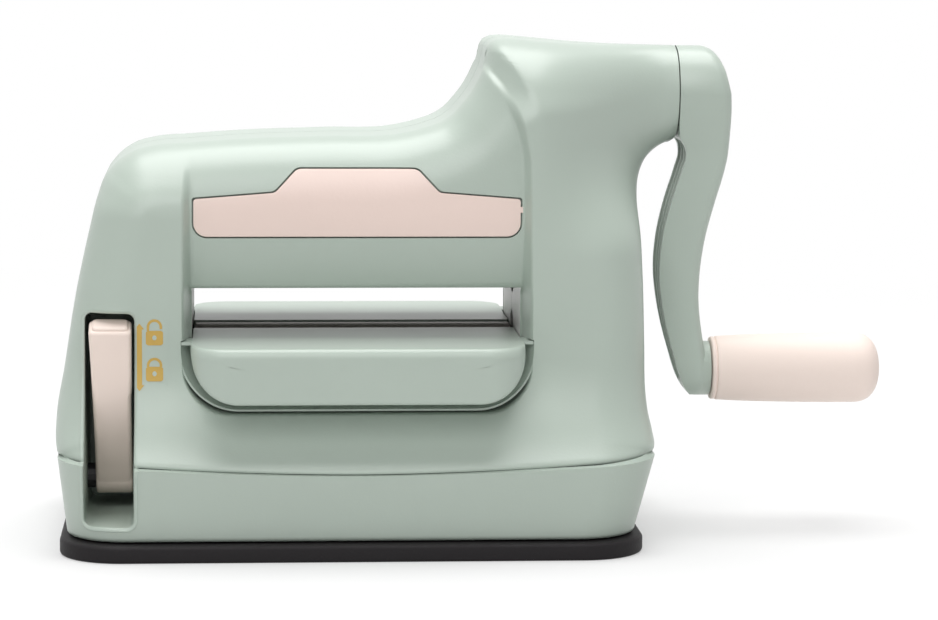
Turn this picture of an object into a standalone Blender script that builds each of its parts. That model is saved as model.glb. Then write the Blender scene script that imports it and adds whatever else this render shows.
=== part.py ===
# Pocket die cutting machine with a hand crank and a suction foot.
# Metres, +Z up, +X towards the crank, -Y towards the user.
# The origin is on the table, under the middle of the throat.

import bmesh
import bpy
import math
import numpy as np

# Gaps and overruns
GAP = 0.0003
RUNNING_CLEARANCE = 0.0002
OVERRUN = 0.002
WELD_DISTANCE = 0.00004

# Throat and rollers
THROAT_HALF_WIDTH = 0.0390
NIP_HEIGHT = 0.0110
ROLLER_RADIUS = 0.0095
ROLLER_SHAFT_RADIUS = 0.0040
LOWER_ROLLER_TOP = 0.0499
ROLLER_END_CLEARANCE = 0.0006
TRAY_TOP_BELOW_ROLLER = 0.0003
HOOD_EDGE_HEIGHT = 0.0614

# Gear train
GEAR_MODULE = 0.0015
SYNC_TEETH = 20
DRIVE_TEETH = 36
PINION_TEETH = 12
GEAR_WIDTH = 0.0060
GEAR_LAYER_GAP = 0.0020
GEAR_BACKLASH = 0.0004
GEAR_ADDENDUM = 0.00135
GEAR_DEDENDUM = 0.0018
GEAR_RELIEF = 0.0005
PRESSURE_ANGLE = math.radians(20)

# Upper housing
SEAM_HEIGHT = 0.0202
SEAM_RISE = 0.0027
BELLY_HALF_WIDTH = 0.0706
BELLY_DEPTH = 0.0500
BELLY_CORNER = 0.0150
FLARE_TOP = 0.0460
CHEEK_DEPTH = 0.0358
CHEEK_TAPER = 0.0028
SIDE_ROUNDING = 0.0125
HOUSING_WALL = 0.0020
HOOD_TOP_HEIGHT = 0.0960
SHOULDER_X = -0.0570
HOOD_DEPTH = 0.0312
HOOD_EDGE_DEPTH = 0.0276
HOOD_BULGE_HEIGHT = 0.0800
RECESS_HALF_WIDTH = 0.0402
TOWER_CORNER_X = 0.0342
TOWER_CORNER_RISE = 0.0020
TOWER_SIDE_X = 0.0680
STUB_END_X = 0.0783
STUB_RADIUS = 0.01135
STUB_BLEND_START_X = 0.0460
STUB_BLEND_LENGTH = 0.0280
STUB_BLEND_FALL = 0.0140
BULKHEAD_X = 0.0609
BULKHEAD_Z = 0.0820

# Lower housing, base plate and rubber foot
FOOT_HEIGHT = 0.0041
FOOT_HALF_WIDTH = 0.0678
FOOT_HALF_DEPTH = 0.0510
FOOT_CORNER = 0.0150
FOOT_CENTRE_X = -0.0012
FOOT_EDGE_ROUNDING = 0.0008
COLLAR_LEAN = 0.0035
COLLAR_EDGE_ROUNDING = 0.0012
COLLAR_WALL = 0.0024
BASE_PLATE_THICKNESS = 0.0022
BASE_PLATE_INSET = 0.0003
FLOOR_OPENING_X = 0.0530
FLOOR_OPENING_Y = 0.0260

# Inlay panels
INLAY_THICKNESS = 0.0010
INLAY_GAP = 0.00035
INLAY_HALF_WIDTH = 0.0384
INLAY_BOTTOM = 0.0739
INLAY_END_HEIGHT = 0.0088
INLAY_SHOULDER_RISE = 0.0015
INLAY_TAB_HEIGHT = 0.0055
INLAY_TAB_HALF_WIDTH = 0.0141
INLAY_TAB_SLOPE = 0.0052
INLAY_CORNER = 0.0032

# Trays
TRAY_REACH = 0.0500
TRAY_HALF_WIDTH = 0.0390
TRAY_THICKNESS = 0.0022
TRAY_DROP = 0.0130
TRAY_CORNER = 0.0112
TRAY_DRAFT = 0.0021
TRAY_PLAN_CORNER = 0.0080
TRAY_TAIL_Y = 0.0080
TRAY_EDGE_ROUNDING = 0.0012
POCKET_BACK_Y = 0.0310
TRAY_BOSS_X = 0.0240
TRAY_BOSS_RADIUS = 0.0030
TRAY_BOSS_Z = 0.0425

# Guide plates
GUIDE_THICKNESS = 0.0012
GUIDE_TOP = 0.0640
GUIDE_NOTCH = 0.0052

# Steel frames
FRAME_X = 0.0410
FRAME_THICKNESS = 0.0030
FRAME_HALF_DEPTH = 0.0240
FRAME_HEAD_RADIUS = 0.0125
FRAME_FOOT_LENGTH = 0.0060
FRAME_FOOT_THICKNESS = 0.0020
TIE_ROD_RADIUS = 0.0025
TIE_ROD_SPIGOT = 0.0017
TIE_ROD_Y = 0.0190
TIE_ROD_Z = 0.0375
BUSH_WALL = 0.0022
BUSH_FLANGE = 0.0014
BUSH_FLANGE_THICKNESS = 0.0010
OUTER_BUSH_LENGTH = 0.0090
SHAFT_END_PROUD = 0.0024
CLIP_THICKNESS = 0.0008

# Crank
CRANK_SHAFT_RADIUS = 0.0040
HUB_LENGTH = 0.0144
HUB_BORE_LENGTH = 0.0096
CRANK_THROW = 0.0680
ARM_ROUNDING = 0.0028
ARM_WALL = 0.0016
ARM_CHANNEL_DEPTH = 0.0050
ARM_RIB = 0.0010
CRANK_SCREW_RADIUS = 0.0016
CRANK_SCREW_HEAD_RADIUS = 0.0036
CRANK_SCREW_HEAD_HEIGHT = 0.0018
CRANK_SCREW_LENGTH = 0.0080
CRANK_SCREW_INSET = 0.0024
GRIP_BOSS_RADIUS = 0.0069
GRIP_BOSS_LENGTH = 0.0032
GRIP_LENGTH = 0.0420
GRIP_RADIUS = 0.0086
GRIP_PIN_RADIUS = 0.0028
GRIP_PIN_HEAD_RADIUS = 0.0042
GRIP_PIN_HEAD_LENGTH = 0.0018
GRIP_PIN_SEAT = 0.0062
GRIP_BORE_LENGTH = 0.0360

# Suction lever and lift
SLOT_X = -0.0580
SLOT_HALF_WIDTH = 0.0058
SLOT_BOTTOM = 0.0080
SLOT_TOP = 0.0562
SLOT_CORNER = 0.0018
WELL_WALL = 0.0016
WELL_BACK_Y = -0.0024
LEVER_HALF_WIDTH = 0.0051
LEVER_PIVOT_Y = -0.0200
LEVER_PIVOT_Z = 0.0158
LEVER_HUB_RADIUS = 0.0056
LEVER_LENGTH = 0.0400
LEVER_LEAN = math.radians(20.5)
LEVER_THICKNESS = 0.0066
LEVER_SWING = math.radians(65)
LEVER_SHAFT_RADIUS = 0.0030
CAM_RADIUS = 0.0046
CAM_HEEL_RADIUS = 0.0042
CAM_LIFT = 0.0030
CAM_WIDTH = 0.0080
STEM_RADIUS = 0.0040
STEM_DISC_RADIUS = 0.0150
STEM_DISC_THICKNESS = 0.0016
YOKE_THICKNESS = 0.0024
YOKE_HALF_WIDTH = 0.0055
CAM_CLEARANCE = 0.0006
BRACKET_THICKNESS = 0.0024
BRACKET_HALF_DEPTH = 0.0060
BRACKET_X = 0.0105

# Screws and bosses
BOSS_RADIUS = 0.0030
SCREW_RADIUS = 0.0014
SCREW_HEAD_RADIUS = 0.0026
SCREW_HEAD_HEIGHT = 0.0012
SCREW_CLEARANCE = 0.0002
HOUSING_SCREW_SEAT_Y = 0.0120
HOUSING_SCREW_REACH = 0.0120
POST_RADIUS = 0.0034
POST_HEIGHT = 0.0155
BASE_SCREW_REACH = 0.0060
BASE_POST_Y = 0.0330
FRAME_SCREW_Y = 0.0150
FRAME_SCREW_REACH = 0.0040

# Counts
ROUND_SIDES = 28
SMALL_SIDES = 14
OUTLINE_STEPS = 12
INNER_STEPS = 6
FLARE_STEPS = 6
RECESS_SAMPLES = 400
SCREW_SIDES = 8
BENT_FACE_ANGLE = math.radians(0.01)
SEGMENT_SAMPLES = 6

# Worked-out places
LOWER_AXIS_Z = LOWER_ROLLER_TOP - ROLLER_RADIUS
UPPER_AXIS_Z = LOWER_ROLLER_TOP + NIP_HEIGHT + ROLLER_RADIUS
TRAIN_DISTANCE = GEAR_MODULE * (DRIVE_TEETH + PINION_TEETH) / 2
CRANK_AXIS_Z = UPPER_AXIS_Z + TRAIN_DISTANCE
TOWER_TOP = CRANK_AXIS_Z + STUB_RADIUS + TOWER_CORNER_RISE
FRAME_OUTER_X = FRAME_X + FRAME_THICKNESS
SYNC_GEAR_X = FRAME_OUTER_X + GEAR_LAYER_GAP
DRIVE_GEAR_X = SYNC_GEAR_X + GEAR_WIDTH + GEAR_LAYER_GAP
TRAY_TOP = LOWER_ROLLER_TOP - TRAY_TOP_BELOW_ROLLER
TRAY_BOTTOM = TRAY_TOP - TRAY_DROP
HUB_FACE_X = STUB_END_X + GAP
GRIP_AXIS_Z = CRANK_AXIS_Z - CRANK_THROW
GRIP_START_X = HUB_FACE_X + 0.65 * HUB_LENGTH
BASE_PLATE_BOTTOM = FOOT_HEIGHT + GAP
BASE_PLATE_TOP = BASE_PLATE_BOTTOM + BASE_PLATE_THICKNESS
FRAME_BOTTOM = BASE_PLATE_TOP + GAP
SLOT_LEFT_X = SLOT_X - SLOT_HALF_WIDTH
SLOT_RIGHT_X = SLOT_X + SLOT_HALF_WIDTH

# Outline of the upper housing seen from the front.
# Left side: across as shares of the belly's half width, up as shares of the hood's height.
LEFT_OUTLINE_SHARES = ((-1.000, 0.238), (-1.007, 0.330), (-0.977, 0.446), (-0.939, 0.619), (-0.891, 0.783),
                       (-0.862, 0.867), (-0.841, 0.908), (-0.807, 0.940))
# Hood top: across as shares of the shoulder's distance, up as shares of the hood's height.
HOOD_OUTLINE_SHARES = ((1.000, 0.940), (0.925, 0.970), (0.840, 0.983), (0.695, 0.991), (0.470, 1.000),
                       (0.130, 1.007), (-0.190, 1.015))
# Sweep from hood to tower: shares of the way to the tower's corner, across and up.
SWEEP_OUTLINE_SHARES = ((0.52, 0.18), (0.62, 0.31), (0.70, 0.42), (0.775, 0.55), (0.85, 0.70), (0.905, 0.84),
                        (0.915, 0.93), (0.94, 0.98), (1.00, 1.00), (1.765, 0.942))
# Right side under the stub: across as shares from the tower's side to the stub's end,
# up as shares from the seam to the stub's lower edge.
RIGHT_OUTLINE_SHARES = ((0.58, 0.972), (0.30, 0.937), (0.09, 0.880), (0.00, 0.822), (0.00, 0.695), (0.05, 0.530),
                        (0.09, 0.330), (0.12, 0.175), (0.16, 0.120), (0.23, 0.060), (0.25, 0.000))
# Right edge of the hood's recess: across from the recess's half width towards the tower's
# corner, against height from the hood's top to the tower's top.
VALLEY_ACROSS_SHARES = (0.00, 0.02, 0.10, 0.28, 0.55, 0.83, 1.15, 1.70)
VALLEY_UP_SHARES = (-0.40, -0.15, 0.03, 0.20, 0.38, 0.53, 0.66, 0.95)
FLARE_POWER = 2.1
SIDE_BEND_SHARE = 0.30
SEAM_POWER = 1.8

# Crank arm: down the throw, inner and outer face across the hub's length, half width
# against the hub's radius.
ARM_SHARES = ((-0.1665, 0.02, 0.56, 0.10), (-0.158, 0.00, 0.64, 0.34), (-0.140, 0.00, 0.74, 0.545),
              (-0.110, 0.00, 0.83, 0.75), (-0.065, 0.00, 0.91, 0.92), (-0.005, 0.00, 0.98, 1.00),
              (0.055, 0.00, 0.993, 0.945), (0.110, 0.00, 0.986, 0.86), (0.155, 0.03, 0.972, 0.79),
              (0.195, 0.14, 0.951, 0.745), (0.275, 0.055, 0.875, 0.70), (0.395, -0.11, 0.708, 0.66),
              (0.520, -0.243, 0.542, 0.635), (0.650, -0.285, 0.444, 0.61), (0.740, -0.243, 0.431, 0.595),
              (0.875, -0.11, 0.500, 0.585), (0.945, -0.014, 0.549, 0.585), (0.995, 0.056, 0.605, 0.58),
              (1.040, 0.125, 0.605, 0.53), (1.072, 0.194, 0.597, 0.42), (1.094, 0.264, 0.583, 0.20))
ARM_CHANNEL_START_SHARE = 0.20
ARM_CHANNEL_END_SHARE = 1.045
ARM_RIB_START_SHARE = 0.15
ARM_RIB_END_SHARE = 0.88

# Grip: along its length and across its radius.
GRIP_SHARES = ((0.000, 0.86), (0.010, 0.895), (0.06, 0.915), (0.30, 0.945), (0.60, 0.985), (0.80, 1.000),
               (0.87, 0.985), (0.915, 0.92), (0.95, 0.80), (0.975, 0.64), (0.99, 0.44), (1.0, 0.20))

# Tray: where the rounding of its front edge is half turned. Lever: places along its bowed back, and its tip.
TRAY_ROUNDING_SHARE = 0.3
LEVER_BACK_SHARES = (0.2, 0.4, 0.6, 0.8, 0.98)
LEVER_TIP_SHARE = 1.02

# Housing screws: the two inner ones across, as shares of the belly's half width, then how far up the
# upper ones sit, as shares of the hood's height, and the right one, as a share of the lower roller's top.
INNER_SCREW_ACROSS_SHARES = (0.368, 0.283)
UPPER_SCREW_UP_SHARES = (0.833, 0.958)
LOWER_RIGHT_SCREW_UP_SHARE = 0.721

GREEN = (0.40, 0.47, 0.41)
CREAM = (0.80, 0.64, 0.57)
GRIP_CREAM = (0.86, 0.74, 0.68)
RUBBER = (0.028, 0.024, 0.026)
DARK_STEEL = (0.10, 0.10, 0.10)
GUIDE_GREY = (0.50, 0.50, 0.48)
BRONZE = (0.45, 0.30, 0.14)
ZINC = (0.55, 0.55, 0.56)
NYLON = (0.66, 0.66, 0.62)

materials = {}


def clear_scene():
    for thing in list(bpy.data.objects):
        bpy.data.objects.remove(thing, do_unlink=True)


def make_material(name, colour, roughness, metallic):
    made = bpy.data.materials.new(name)
    made.use_nodes = True
    shader = made.node_tree.nodes["Principled BSDF"]
    shader.inputs["Base Color"].default_value = (*colour, 1)
    shader.inputs["Roughness"].default_value = roughness
    shader.inputs["Metallic"].default_value = metallic
    made.diffuse_color = (*colour, 1)
    materials[name] = made


def mesh_object(name, shape, material=None, pivot=(0, 0, 0)):
    # Points are in the part's frame, and the object's origin sits at the pivot.
    points, faces = shape
    mesh = bpy.data.meshes.new(name)
    mesh.from_pydata([tuple(p) for p in np.asarray(points, float) - np.asarray(pivot, float)], [], faces)
    work = bmesh.new()
    work.from_mesh(mesh)
    bent = [face for face in work.faces if len(face.verts) == 4]
    bmesh.ops.connect_verts_nonplanar(work, angle_limit=BENT_FACE_ANGLE, faces=bent)
    bmesh.ops.recalc_face_normals(work, faces=work.faces)
    if work.calc_volume(signed=True) < 0:
        bmesh.ops.reverse_faces(work, faces=work.faces)
    work.to_mesh(mesh)
    work.free()
    mesh.shade_smooth()
    mesh.set_sharp_from_angle(angle=math.radians(32))
    made = bpy.data.objects.new(name, mesh)
    made.location = pivot
    bpy.context.collection.objects.link(made)
    if material:
        mesh.materials.append(materials[material])
    return made


def tool(name, shape):
    made = mesh_object(name, shape)
    made.hide_render = True
    made.display_type = 'WIRE'
    return made


def combine(piece, other, operation):
    modifier = piece.modifiers.new(operation.lower(), 'BOOLEAN')
    modifier.operation = operation
    modifier.object = other
    modifier.solver = 'EXACT'


def weld(piece):
    modifier = piece.modifiers.new("weld", 'WELD')
    modifier.merge_threshold = WELD_DISTANCE


def cut(piece, name, shape):
    combine(piece, tool(name, shape), 'DIFFERENCE')


def add(piece, name, shape):
    combine(piece, tool(name, shape), 'UNION')


def box(low, high):
    points = [(x, y, z) for x in (low[0], high[0]) for y in (low[1], high[1]) for z in (low[2], high[2])]
    faces = [(0, 1, 3, 2), (4, 6, 7, 5), (0, 4, 5, 1), (2, 3, 7, 6), (0, 2, 6, 4), (1, 5, 7, 3)]
    return points, faces


def in_space(axis, along, across, up):
    # A point given along an axis and in the plane square to it.
    if axis == 'X':
        return (along, across, up)
    if axis == 'Y':
        return (across, along, up)
    return (across, up, along)


def prism(outline, axis, start, end):
    count = len(outline)
    points = [in_space(axis, start, a, b) for a, b in outline] + [in_space(axis, end, a, b) for a, b in outline]
    faces = [(i, (i + 1) % count, count + (i + 1) % count, count + i) for i in range(count)]
    faces.append(tuple(range(count))[::-1])
    faces.append(tuple(range(count, 2 * count)))
    return points, faces


def circle(centre, radius, sides):
    turns = [2 * math.pi * (i + 0.5) / sides for i in range(sides)]
    return [(centre[0] + radius * math.cos(t), centre[1] + radius * math.sin(t)) for t in turns]


def rod(axis, centre, radius, start, end, sides=SMALL_SIDES):
    return prism(circle(centre, radius, sides), axis, start, end)


def turned(axis, centre, profile, sides=ROUND_SIDES, closed=False):
    # A profile of (along, radius) pairs turned round an axis; a closed profile makes a ring.
    points = []
    for along, radius in profile:
        points += [in_space(axis, along, a, b) for a, b in circle(centre, radius, sides)]
    rows = len(profile)
    last = rows if closed else rows - 1
    faces = []
    for row in range(last):
        here, there = row * sides, (row + 1) % rows * sides
        faces += [(here + i, here + (i + 1) % sides, there + (i + 1) % sides, there + i) for i in range(sides)]
    if not closed:
        faces.append(tuple(range(sides))[::-1])
        faces.append(tuple(range((rows - 1) * sides, rows * sides)))
    return points, faces


def ring(axis, centre, inner, outer, start, end, sides=SMALL_SIDES):
    profile = [(start, inner), (start, outer), (end, outer), (end, inner)]
    return turned(axis, centre, profile, sides, closed=True)


def loft(rings):
    # Equal rings of points joined into a closed solid with flat ends.
    count = len(rings[0])
    points = [tuple(p) for row in rings for p in row]
    faces = []
    for row in range(len(rings) - 1):
        here, there = row * count, (row + 1) * count
        faces += [(here + i, here + (i + 1) % count, there + (i + 1) % count, there + i) for i in range(count)]
    faces.append(tuple(range(count))[::-1])
    faces.append(tuple(range((len(rings) - 1) * count, len(rings) * count)))
    return points, faces


def sheet_solid(front, back):
    # Two equal grids of points, one behind the other, closed along their edges.
    rows, columns = front.shape[:2]
    points = np.concatenate([front.reshape(-1, 3), back.reshape(-1, 3)])
    size = rows * columns
    faces = []
    for i in range(rows - 1):
        for j in range(columns - 1):
            a = i * columns + j
            faces.append((a, a + 1, a + columns + 1, a + columns))
            faces.append((size + a, size + a + columns, size + a + columns + 1, size + a + 1))
    edge = [j for j in range(columns)] + [i * columns + columns - 1 for i in range(1, rows)]
    edge += [(rows - 1) * columns + j for j in range(columns - 2, -1, -1)]
    edge += [i * columns for i in range(rows - 2, 0, -1)]
    for k, a in enumerate(edge):
        b = edge[(k + 1) % len(edge)]
        faces.append((a, size + a, size + b, b))
    return points, faces


def flat_backed(front, back_y):
    # A grid of points closed by a rim and one flat face at back_y.
    rows, columns = front.shape[:2]
    edge = [j for j in range(columns)] + [i * columns + columns - 1 for i in range(1, rows)]
    edge += [(rows - 1) * columns + j for j in range(columns - 2, -1, -1)]
    edge += [i * columns for i in range(rows - 2, 0, -1)]
    flat = front.reshape(-1, 3)
    rim = flat[edge].copy()
    rim[:, 1] = back_y
    size = len(flat)
    faces = [(i * columns + j, i * columns + j + 1, (i + 1) * columns + j + 1, (i + 1) * columns + j)
             for i in range(rows - 1) for j in range(columns - 1)]
    faces += [(a, size + k, size + (k + 1) % len(edge), edge[(k + 1) % len(edge)]) for k, a in enumerate(edge)]
    faces.append(tuple(range(size, size + len(edge))))
    return np.concatenate([flat, rim]), faces


def mirrored(shape):
    # The same shape on the other side of the seam plane.
    points, faces = shape
    return np.asarray(points, float) * (1, -1, 1), faces


def ease(value):
    value = np.clip(value, 0, 1)
    return value * value * (3 - 2 * value)


def spline(points, samples=SEGMENT_SAMPLES):
    # Smooth curve through the points; each tangent leans to the shorter of its two spans.
    points = np.asarray(points, float)
    spans = np.diff(points, axis=0)
    lengths = np.linalg.norm(spans, axis=1)[:, None]
    slopes = spans / lengths
    middle = (slopes[:-1] * lengths[1:] + slopes[1:] * lengths[:-1]) / (lengths[1:] + lengths[:-1])
    tangents = np.vstack([slopes[:1], middle, slopes[-1:]])
    t = np.linspace(0, 1, samples, endpoint=False)[:, None]
    curve = []
    for a, b, start, end, length in zip(points, points[1:], tangents, tangents[1:], lengths):
        curve.append(a + (b - a) * t * t * (3 - 2 * t)
                     + length * (start * t * (1 - t) ** 2 - end * t * t * (1 - t)))
    return np.vstack(curve + [points[-1:]])


def resample(curve, shares):
    steps = np.linalg.norm(np.diff(curve, axis=0), axis=1)
    along = np.concatenate([[0], np.cumsum(steps)]) / steps.sum()
    return np.stack([np.interp(shares, along, curve[:, k]) for k in range(2)], axis=1)


def outline_curves():
    # The outline from the front: left side up, top across, and right side up to the stub's end.
    left = [(a * BELLY_HALF_WIDTH, b * HOOD_TOP_HEIGHT) for a, b in LEFT_OUTLINE_SHARES]
    hood = [(a * SHOULDER_X, b * HOOD_TOP_HEIGHT) for a, b in HOOD_OUTLINE_SHARES]
    start = hood[-1]
    sweep = [(start[0] + a * (TOWER_CORNER_X - start[0]), start[1] + b * (TOWER_TOP - start[1]))
             for a, b in SWEEP_OUTLINE_SHARES]
    stub_top = [(STUB_END_X, CRANK_AXIS_Z + STUB_RADIUS)]
    stub_bottom = CRANK_AXIS_Z - STUB_RADIUS
    foot = SEAM_HEIGHT + SEAM_RISE
    right = [(TOWER_SIDE_X + a * (STUB_END_X - TOWER_SIDE_X), foot + b * (stub_bottom - foot))
             for a, b in RIGHT_OUTLINE_SHARES]
    left_curve = spline(left)
    top_curve = spline(hood + sweep + stub_top)
    right_curve = spline(right[::-1] + [(STUB_END_X, stub_bottom)])
    return left_curve, top_curve, right_curve


def inset_curve(curve, distance, side):
    # Each point moved square to the curve; side is +1 for inwards on the left of its run.
    # Points that land too near another part of the curve are left out.
    along = np.gradient(curve, axis=0)
    along /= np.linalg.norm(along, axis=1)[:, None]
    moved = curve + side * distance * np.stack([-along[:, 1], along[:, 0]], axis=1)
    return moved[edge_distance(moved[:, 0], moved[:, 1], (curve,)) > 0.97 * distance]


def edge_distance(x, z, curves):
    # Distance from each point to the nearest of the outline's curves.
    spots = np.stack([x.ravel(), z.ravel()], axis=1)
    best = np.full(len(spots), np.inf)
    for curve in curves:
        start, span = curve[:-1], np.diff(curve, axis=0)
        t = ((spots[:, None] - start) * span).sum(2) / (span ** 2).sum(1)
        near = start + np.clip(t, 0, 1)[..., None] * span
        best = np.minimum(best, np.linalg.norm(spots[:, None] - near, axis=2).min(1))
    return best.reshape(x.shape)


def seam_height(x):
    return SEAM_HEIGHT + SEAM_RISE * np.clip(np.abs(x) / BELLY_HALF_WIDTH, 0, 1) ** SEAM_POWER


def body_depth(z):
    flare = np.clip((FLARE_TOP - z) / (FLARE_TOP - SEAM_HEIGHT), 0, 1)
    taper = np.clip((z - FLARE_TOP) / (TOWER_TOP - FLARE_TOP), 0, 1)
    return CHEEK_DEPTH - CHEEK_TAPER * taper + (BELLY_DEPTH - CHEEK_DEPTH) * flare ** FLARE_POWER


def hood_depth(z):
    bulge = (HOOD_BULGE_HEIGHT - np.maximum(z, HOOD_EDGE_HEIGHT)) / (HOOD_BULGE_HEIGHT - HOOD_EDGE_HEIGHT)
    return HOOD_DEPTH - (HOOD_DEPTH - HOOD_EDGE_DEPTH) * np.maximum(bulge, 0) ** 2


def side_rounding(z):
    return BELLY_CORNER + (SIDE_ROUNDING - BELLY_CORNER) * ease((z - SEAM_HEIGHT) / (FLARE_TOP - SEAM_HEIGHT))


def stub_share(x, z):
    low = CRANK_AXIS_Z - STUB_RADIUS - STUB_BLEND_FALL
    return ease((x - STUB_BLEND_START_X) / STUB_BLEND_LENGTH) * ease((z - low) / STUB_BLEND_FALL)


def rounded_depth(x, z, depth, curves, inset=0.0):
    # Depth of the front face, falling along a circular arc towards the outline:
    # h = (d - r) + sqrt(r^2 - (r - e)^2), e being the distance to the outline.
    share = stub_share(x + 1.5 * inset, z + 1.5 * inset)
    radius = side_rounding(z) * (1 - share) + STUB_RADIUS * share - inset
    depth = depth * (1 - share) + STUB_RADIUS * share - inset
    edge = np.minimum(edge_distance(x, z, curves), radius)
    return depth - radius + np.sqrt(np.maximum(radius ** 2 - (radius - edge) ** 2, 0))


def spanned(bottom, top, left, right, across, up):
    # Lines from the bottom curve to the top one, bent near each side to follow that side.
    s, t = np.meshgrid(across, up)
    s, t = s[..., None], t[..., None]
    b, u = resample(bottom, across)[None], resample(top, across)[None]
    lf, rt = resample(left, up)[:, None], resample(right, up)[:, None]
    left_bend = lf - (1 - t) * lf[0] - t * lf[-1]
    right_bend = rt - (1 - t) * rt[0] - t * rt[-1]
    near_left = 1 - ease(s / SIDE_BEND_SHARE)
    near_right = ease((s - 1 + SIDE_BEND_SHARE) / SIDE_BEND_SHARE)
    return (1 - t) * b + t * u + near_left * left_bend + near_right * right_bend


def rounding_steps(width, radius, count, both):
    # Shares that are closer together where the edge is rounded.
    arc = (1 - np.cos(np.linspace(0, math.pi / 2, 5))) * radius / width
    middle = np.linspace(arc[-1], 1 - (arc[-1] if both[1] else 0), count)
    start = arc[:-1] if both[0] else []
    end = 1 - arc[:-1][::-1] if both[1] else []
    return np.concatenate([start, middle if both[0] else np.linspace(0, middle[-1], count), end])


def half_body(back_y, inset=0.0, drop=0.0, steps=OUTLINE_STEPS):
    # Half of the upper housing's outer form, in front of the seam plane.
    left, top, right = outline_curves()
    if inset:
        left, top, right = (inset_curve(left, inset, -1), inset_curve(top, inset, -1),
                            inset_curve(right, inset, 1))
        corner = (left[-1] + top[0]) / 2
        left[-1], top[0] = corner, corner
    curves = (left, top, right)
    end_line = np.array([right[-1], top[-1]])
    foot = np.array([[left[0][0], left[0][1] - drop], [right[0][0], right[0][1] - drop]])
    x = np.linspace(foot[0][0], foot[1][0], 4 * OUTLINE_STEPS)
    bottom = np.stack([x, seam_height(x) - drop], axis=1)
    left_edge = np.vstack([bottom[:1], left]) if drop else left.copy()
    right_edge = np.vstack([bottom[-1:], right, end_line[1:]]) if drop else np.vstack([right, end_line[1:]])
    left_edge[0], right_edge[0] = bottom[0], bottom[-1]
    width = 2 * BELLY_HALF_WIDTH
    across = rounding_steps(width, SIDE_ROUNDING, steps + 5, (True, True))
    rise = HOOD_TOP_HEIGHT - SEAM_HEIGHT
    flare = (FLARE_TOP - SEAM_HEIGHT) / rise
    up = rounding_steps(rise, SIDE_ROUNDING, steps, (False, True))
    up = np.concatenate([np.linspace(0, flare, FLARE_STEPS), up[up > flare]])
    patch = spanned(bottom, top, left_edge, right_edge, across, up)
    px, pz = patch[..., 0], patch[..., 1]
    depth = rounded_depth(px, pz, body_depth(pz), curves, inset)
    return flat_backed(np.stack([px, -np.maximum(depth, GAP), pz], axis=2), back_y)


def valley_x(z):
    # Right edge of the hood's recess at each height.
    rise = (z - HOOD_TOP_HEIGHT) / (TOWER_TOP - HOOD_TOP_HEIGHT)
    share = np.interp(rise, VALLEY_UP_SHARES, VALLEY_ACROSS_SHARES)
    return RECESS_HALF_WIDTH + share * (TOWER_CORNER_X - RECESS_HALF_WIDTH)


def hood_surface(x, z, inset=0.0):
    _, top, _ = outline_curves()
    edge = np.where(z < np.interp(x, top[:, 0], top[:, 1]), edge_distance(x, z, (top,)), 0.0)
    edge = np.maximum(edge - inset, 0)
    radius = SIDE_ROUNDING - inset
    near = np.minimum(edge, radius)
    return hood_depth(z) - inset - radius + np.sqrt(np.maximum(radius ** 2 - (radius - near) ** 2, 0))


def recess(front_y, low_z, inset=0.0):
    # The space in front of the hood, between the cheeks; an inset takes the wall's thickness too.
    _, top, _ = outline_curves()
    across = np.linspace(0, 1, OUTLINE_STEPS)[:, None]
    low_x = -RECESS_HALF_WIDTH - inset
    heights = np.linspace(HOOD_BULGE_HEIGHT, TOWER_TOP, RECESS_SAMPLES)
    x = low_x + across * (valley_x(heights) + inset - low_x)
    outside = heights > np.interp(x, top[:, 0], top[:, 1])
    end = heights[np.where(outside.any(axis=1), outside.argmax(axis=1), -1)][:, None]
    up = rounding_steps(HOOD_TOP_HEIGHT - low_z, SIDE_ROUNDING, OUTLINE_STEPS, (False, True))
    low = low_z - inset
    z = np.hstack([low + up * (end - low), end + OVERRUN])
    x = low_x + across * (valley_x(z) + inset - low_x)
    back = np.stack([x, -hood_surface(x, z, inset), z], axis=2)
    front = back.copy()
    front[..., 1] = front_y
    return sheet_solid(front, back)


def least_depth(x, z, radius):
    # Least depth of the front surface round a boss.
    spots = np.array(circle((x, z), radius, ROUND_SIDES))
    xs, zs = spots[:, 0], spots[:, 1]
    depth = rounded_depth(xs, zs, body_depth(zs), outline_curves())
    recessed = (np.abs(xs) < RECESS_HALF_WIDTH) & (zs > HOOD_EDGE_HEIGHT)
    return float(np.where(recessed, np.minimum(depth, hood_surface(xs, zs)), depth).min())


def u_outline(half_width, bottom, top, corner):
    # A wide U with round lower corners.
    middle = bottom + corner
    skip = math.asin(max(0.0, (middle - top) / corner))
    lift = [(half_width, top)] if top > middle else []
    points = [(-x, z) for x, z in lift]
    for side in (-1, 1):
        turns = [skip + (math.pi / 2 - skip) * i / 6 for i in range(7)][::-side]
        points += [(side * (half_width - corner + corner * math.cos(t)), middle - corner * math.sin(t))
                   for t in turns]
    return points + lift


def rounded_rectangle(centre_x, half_width, half_depth, corner, z, steps=6):
    # A ring of points round a rectangle with round corners.
    points = []
    for sx, sy, start in ((1, 1, 0), (-1, 1, 1), (-1, -1, 2), (1, -1, 3)):
        for i in range(steps + 1):
            turn = math.pi / 2 * (start + i / steps)
            points.append((centre_x + sx * (half_width - corner) + corner * math.cos(turn),
                           sy * (half_depth - corner) + corner * math.sin(turn), z))
    return points


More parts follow.
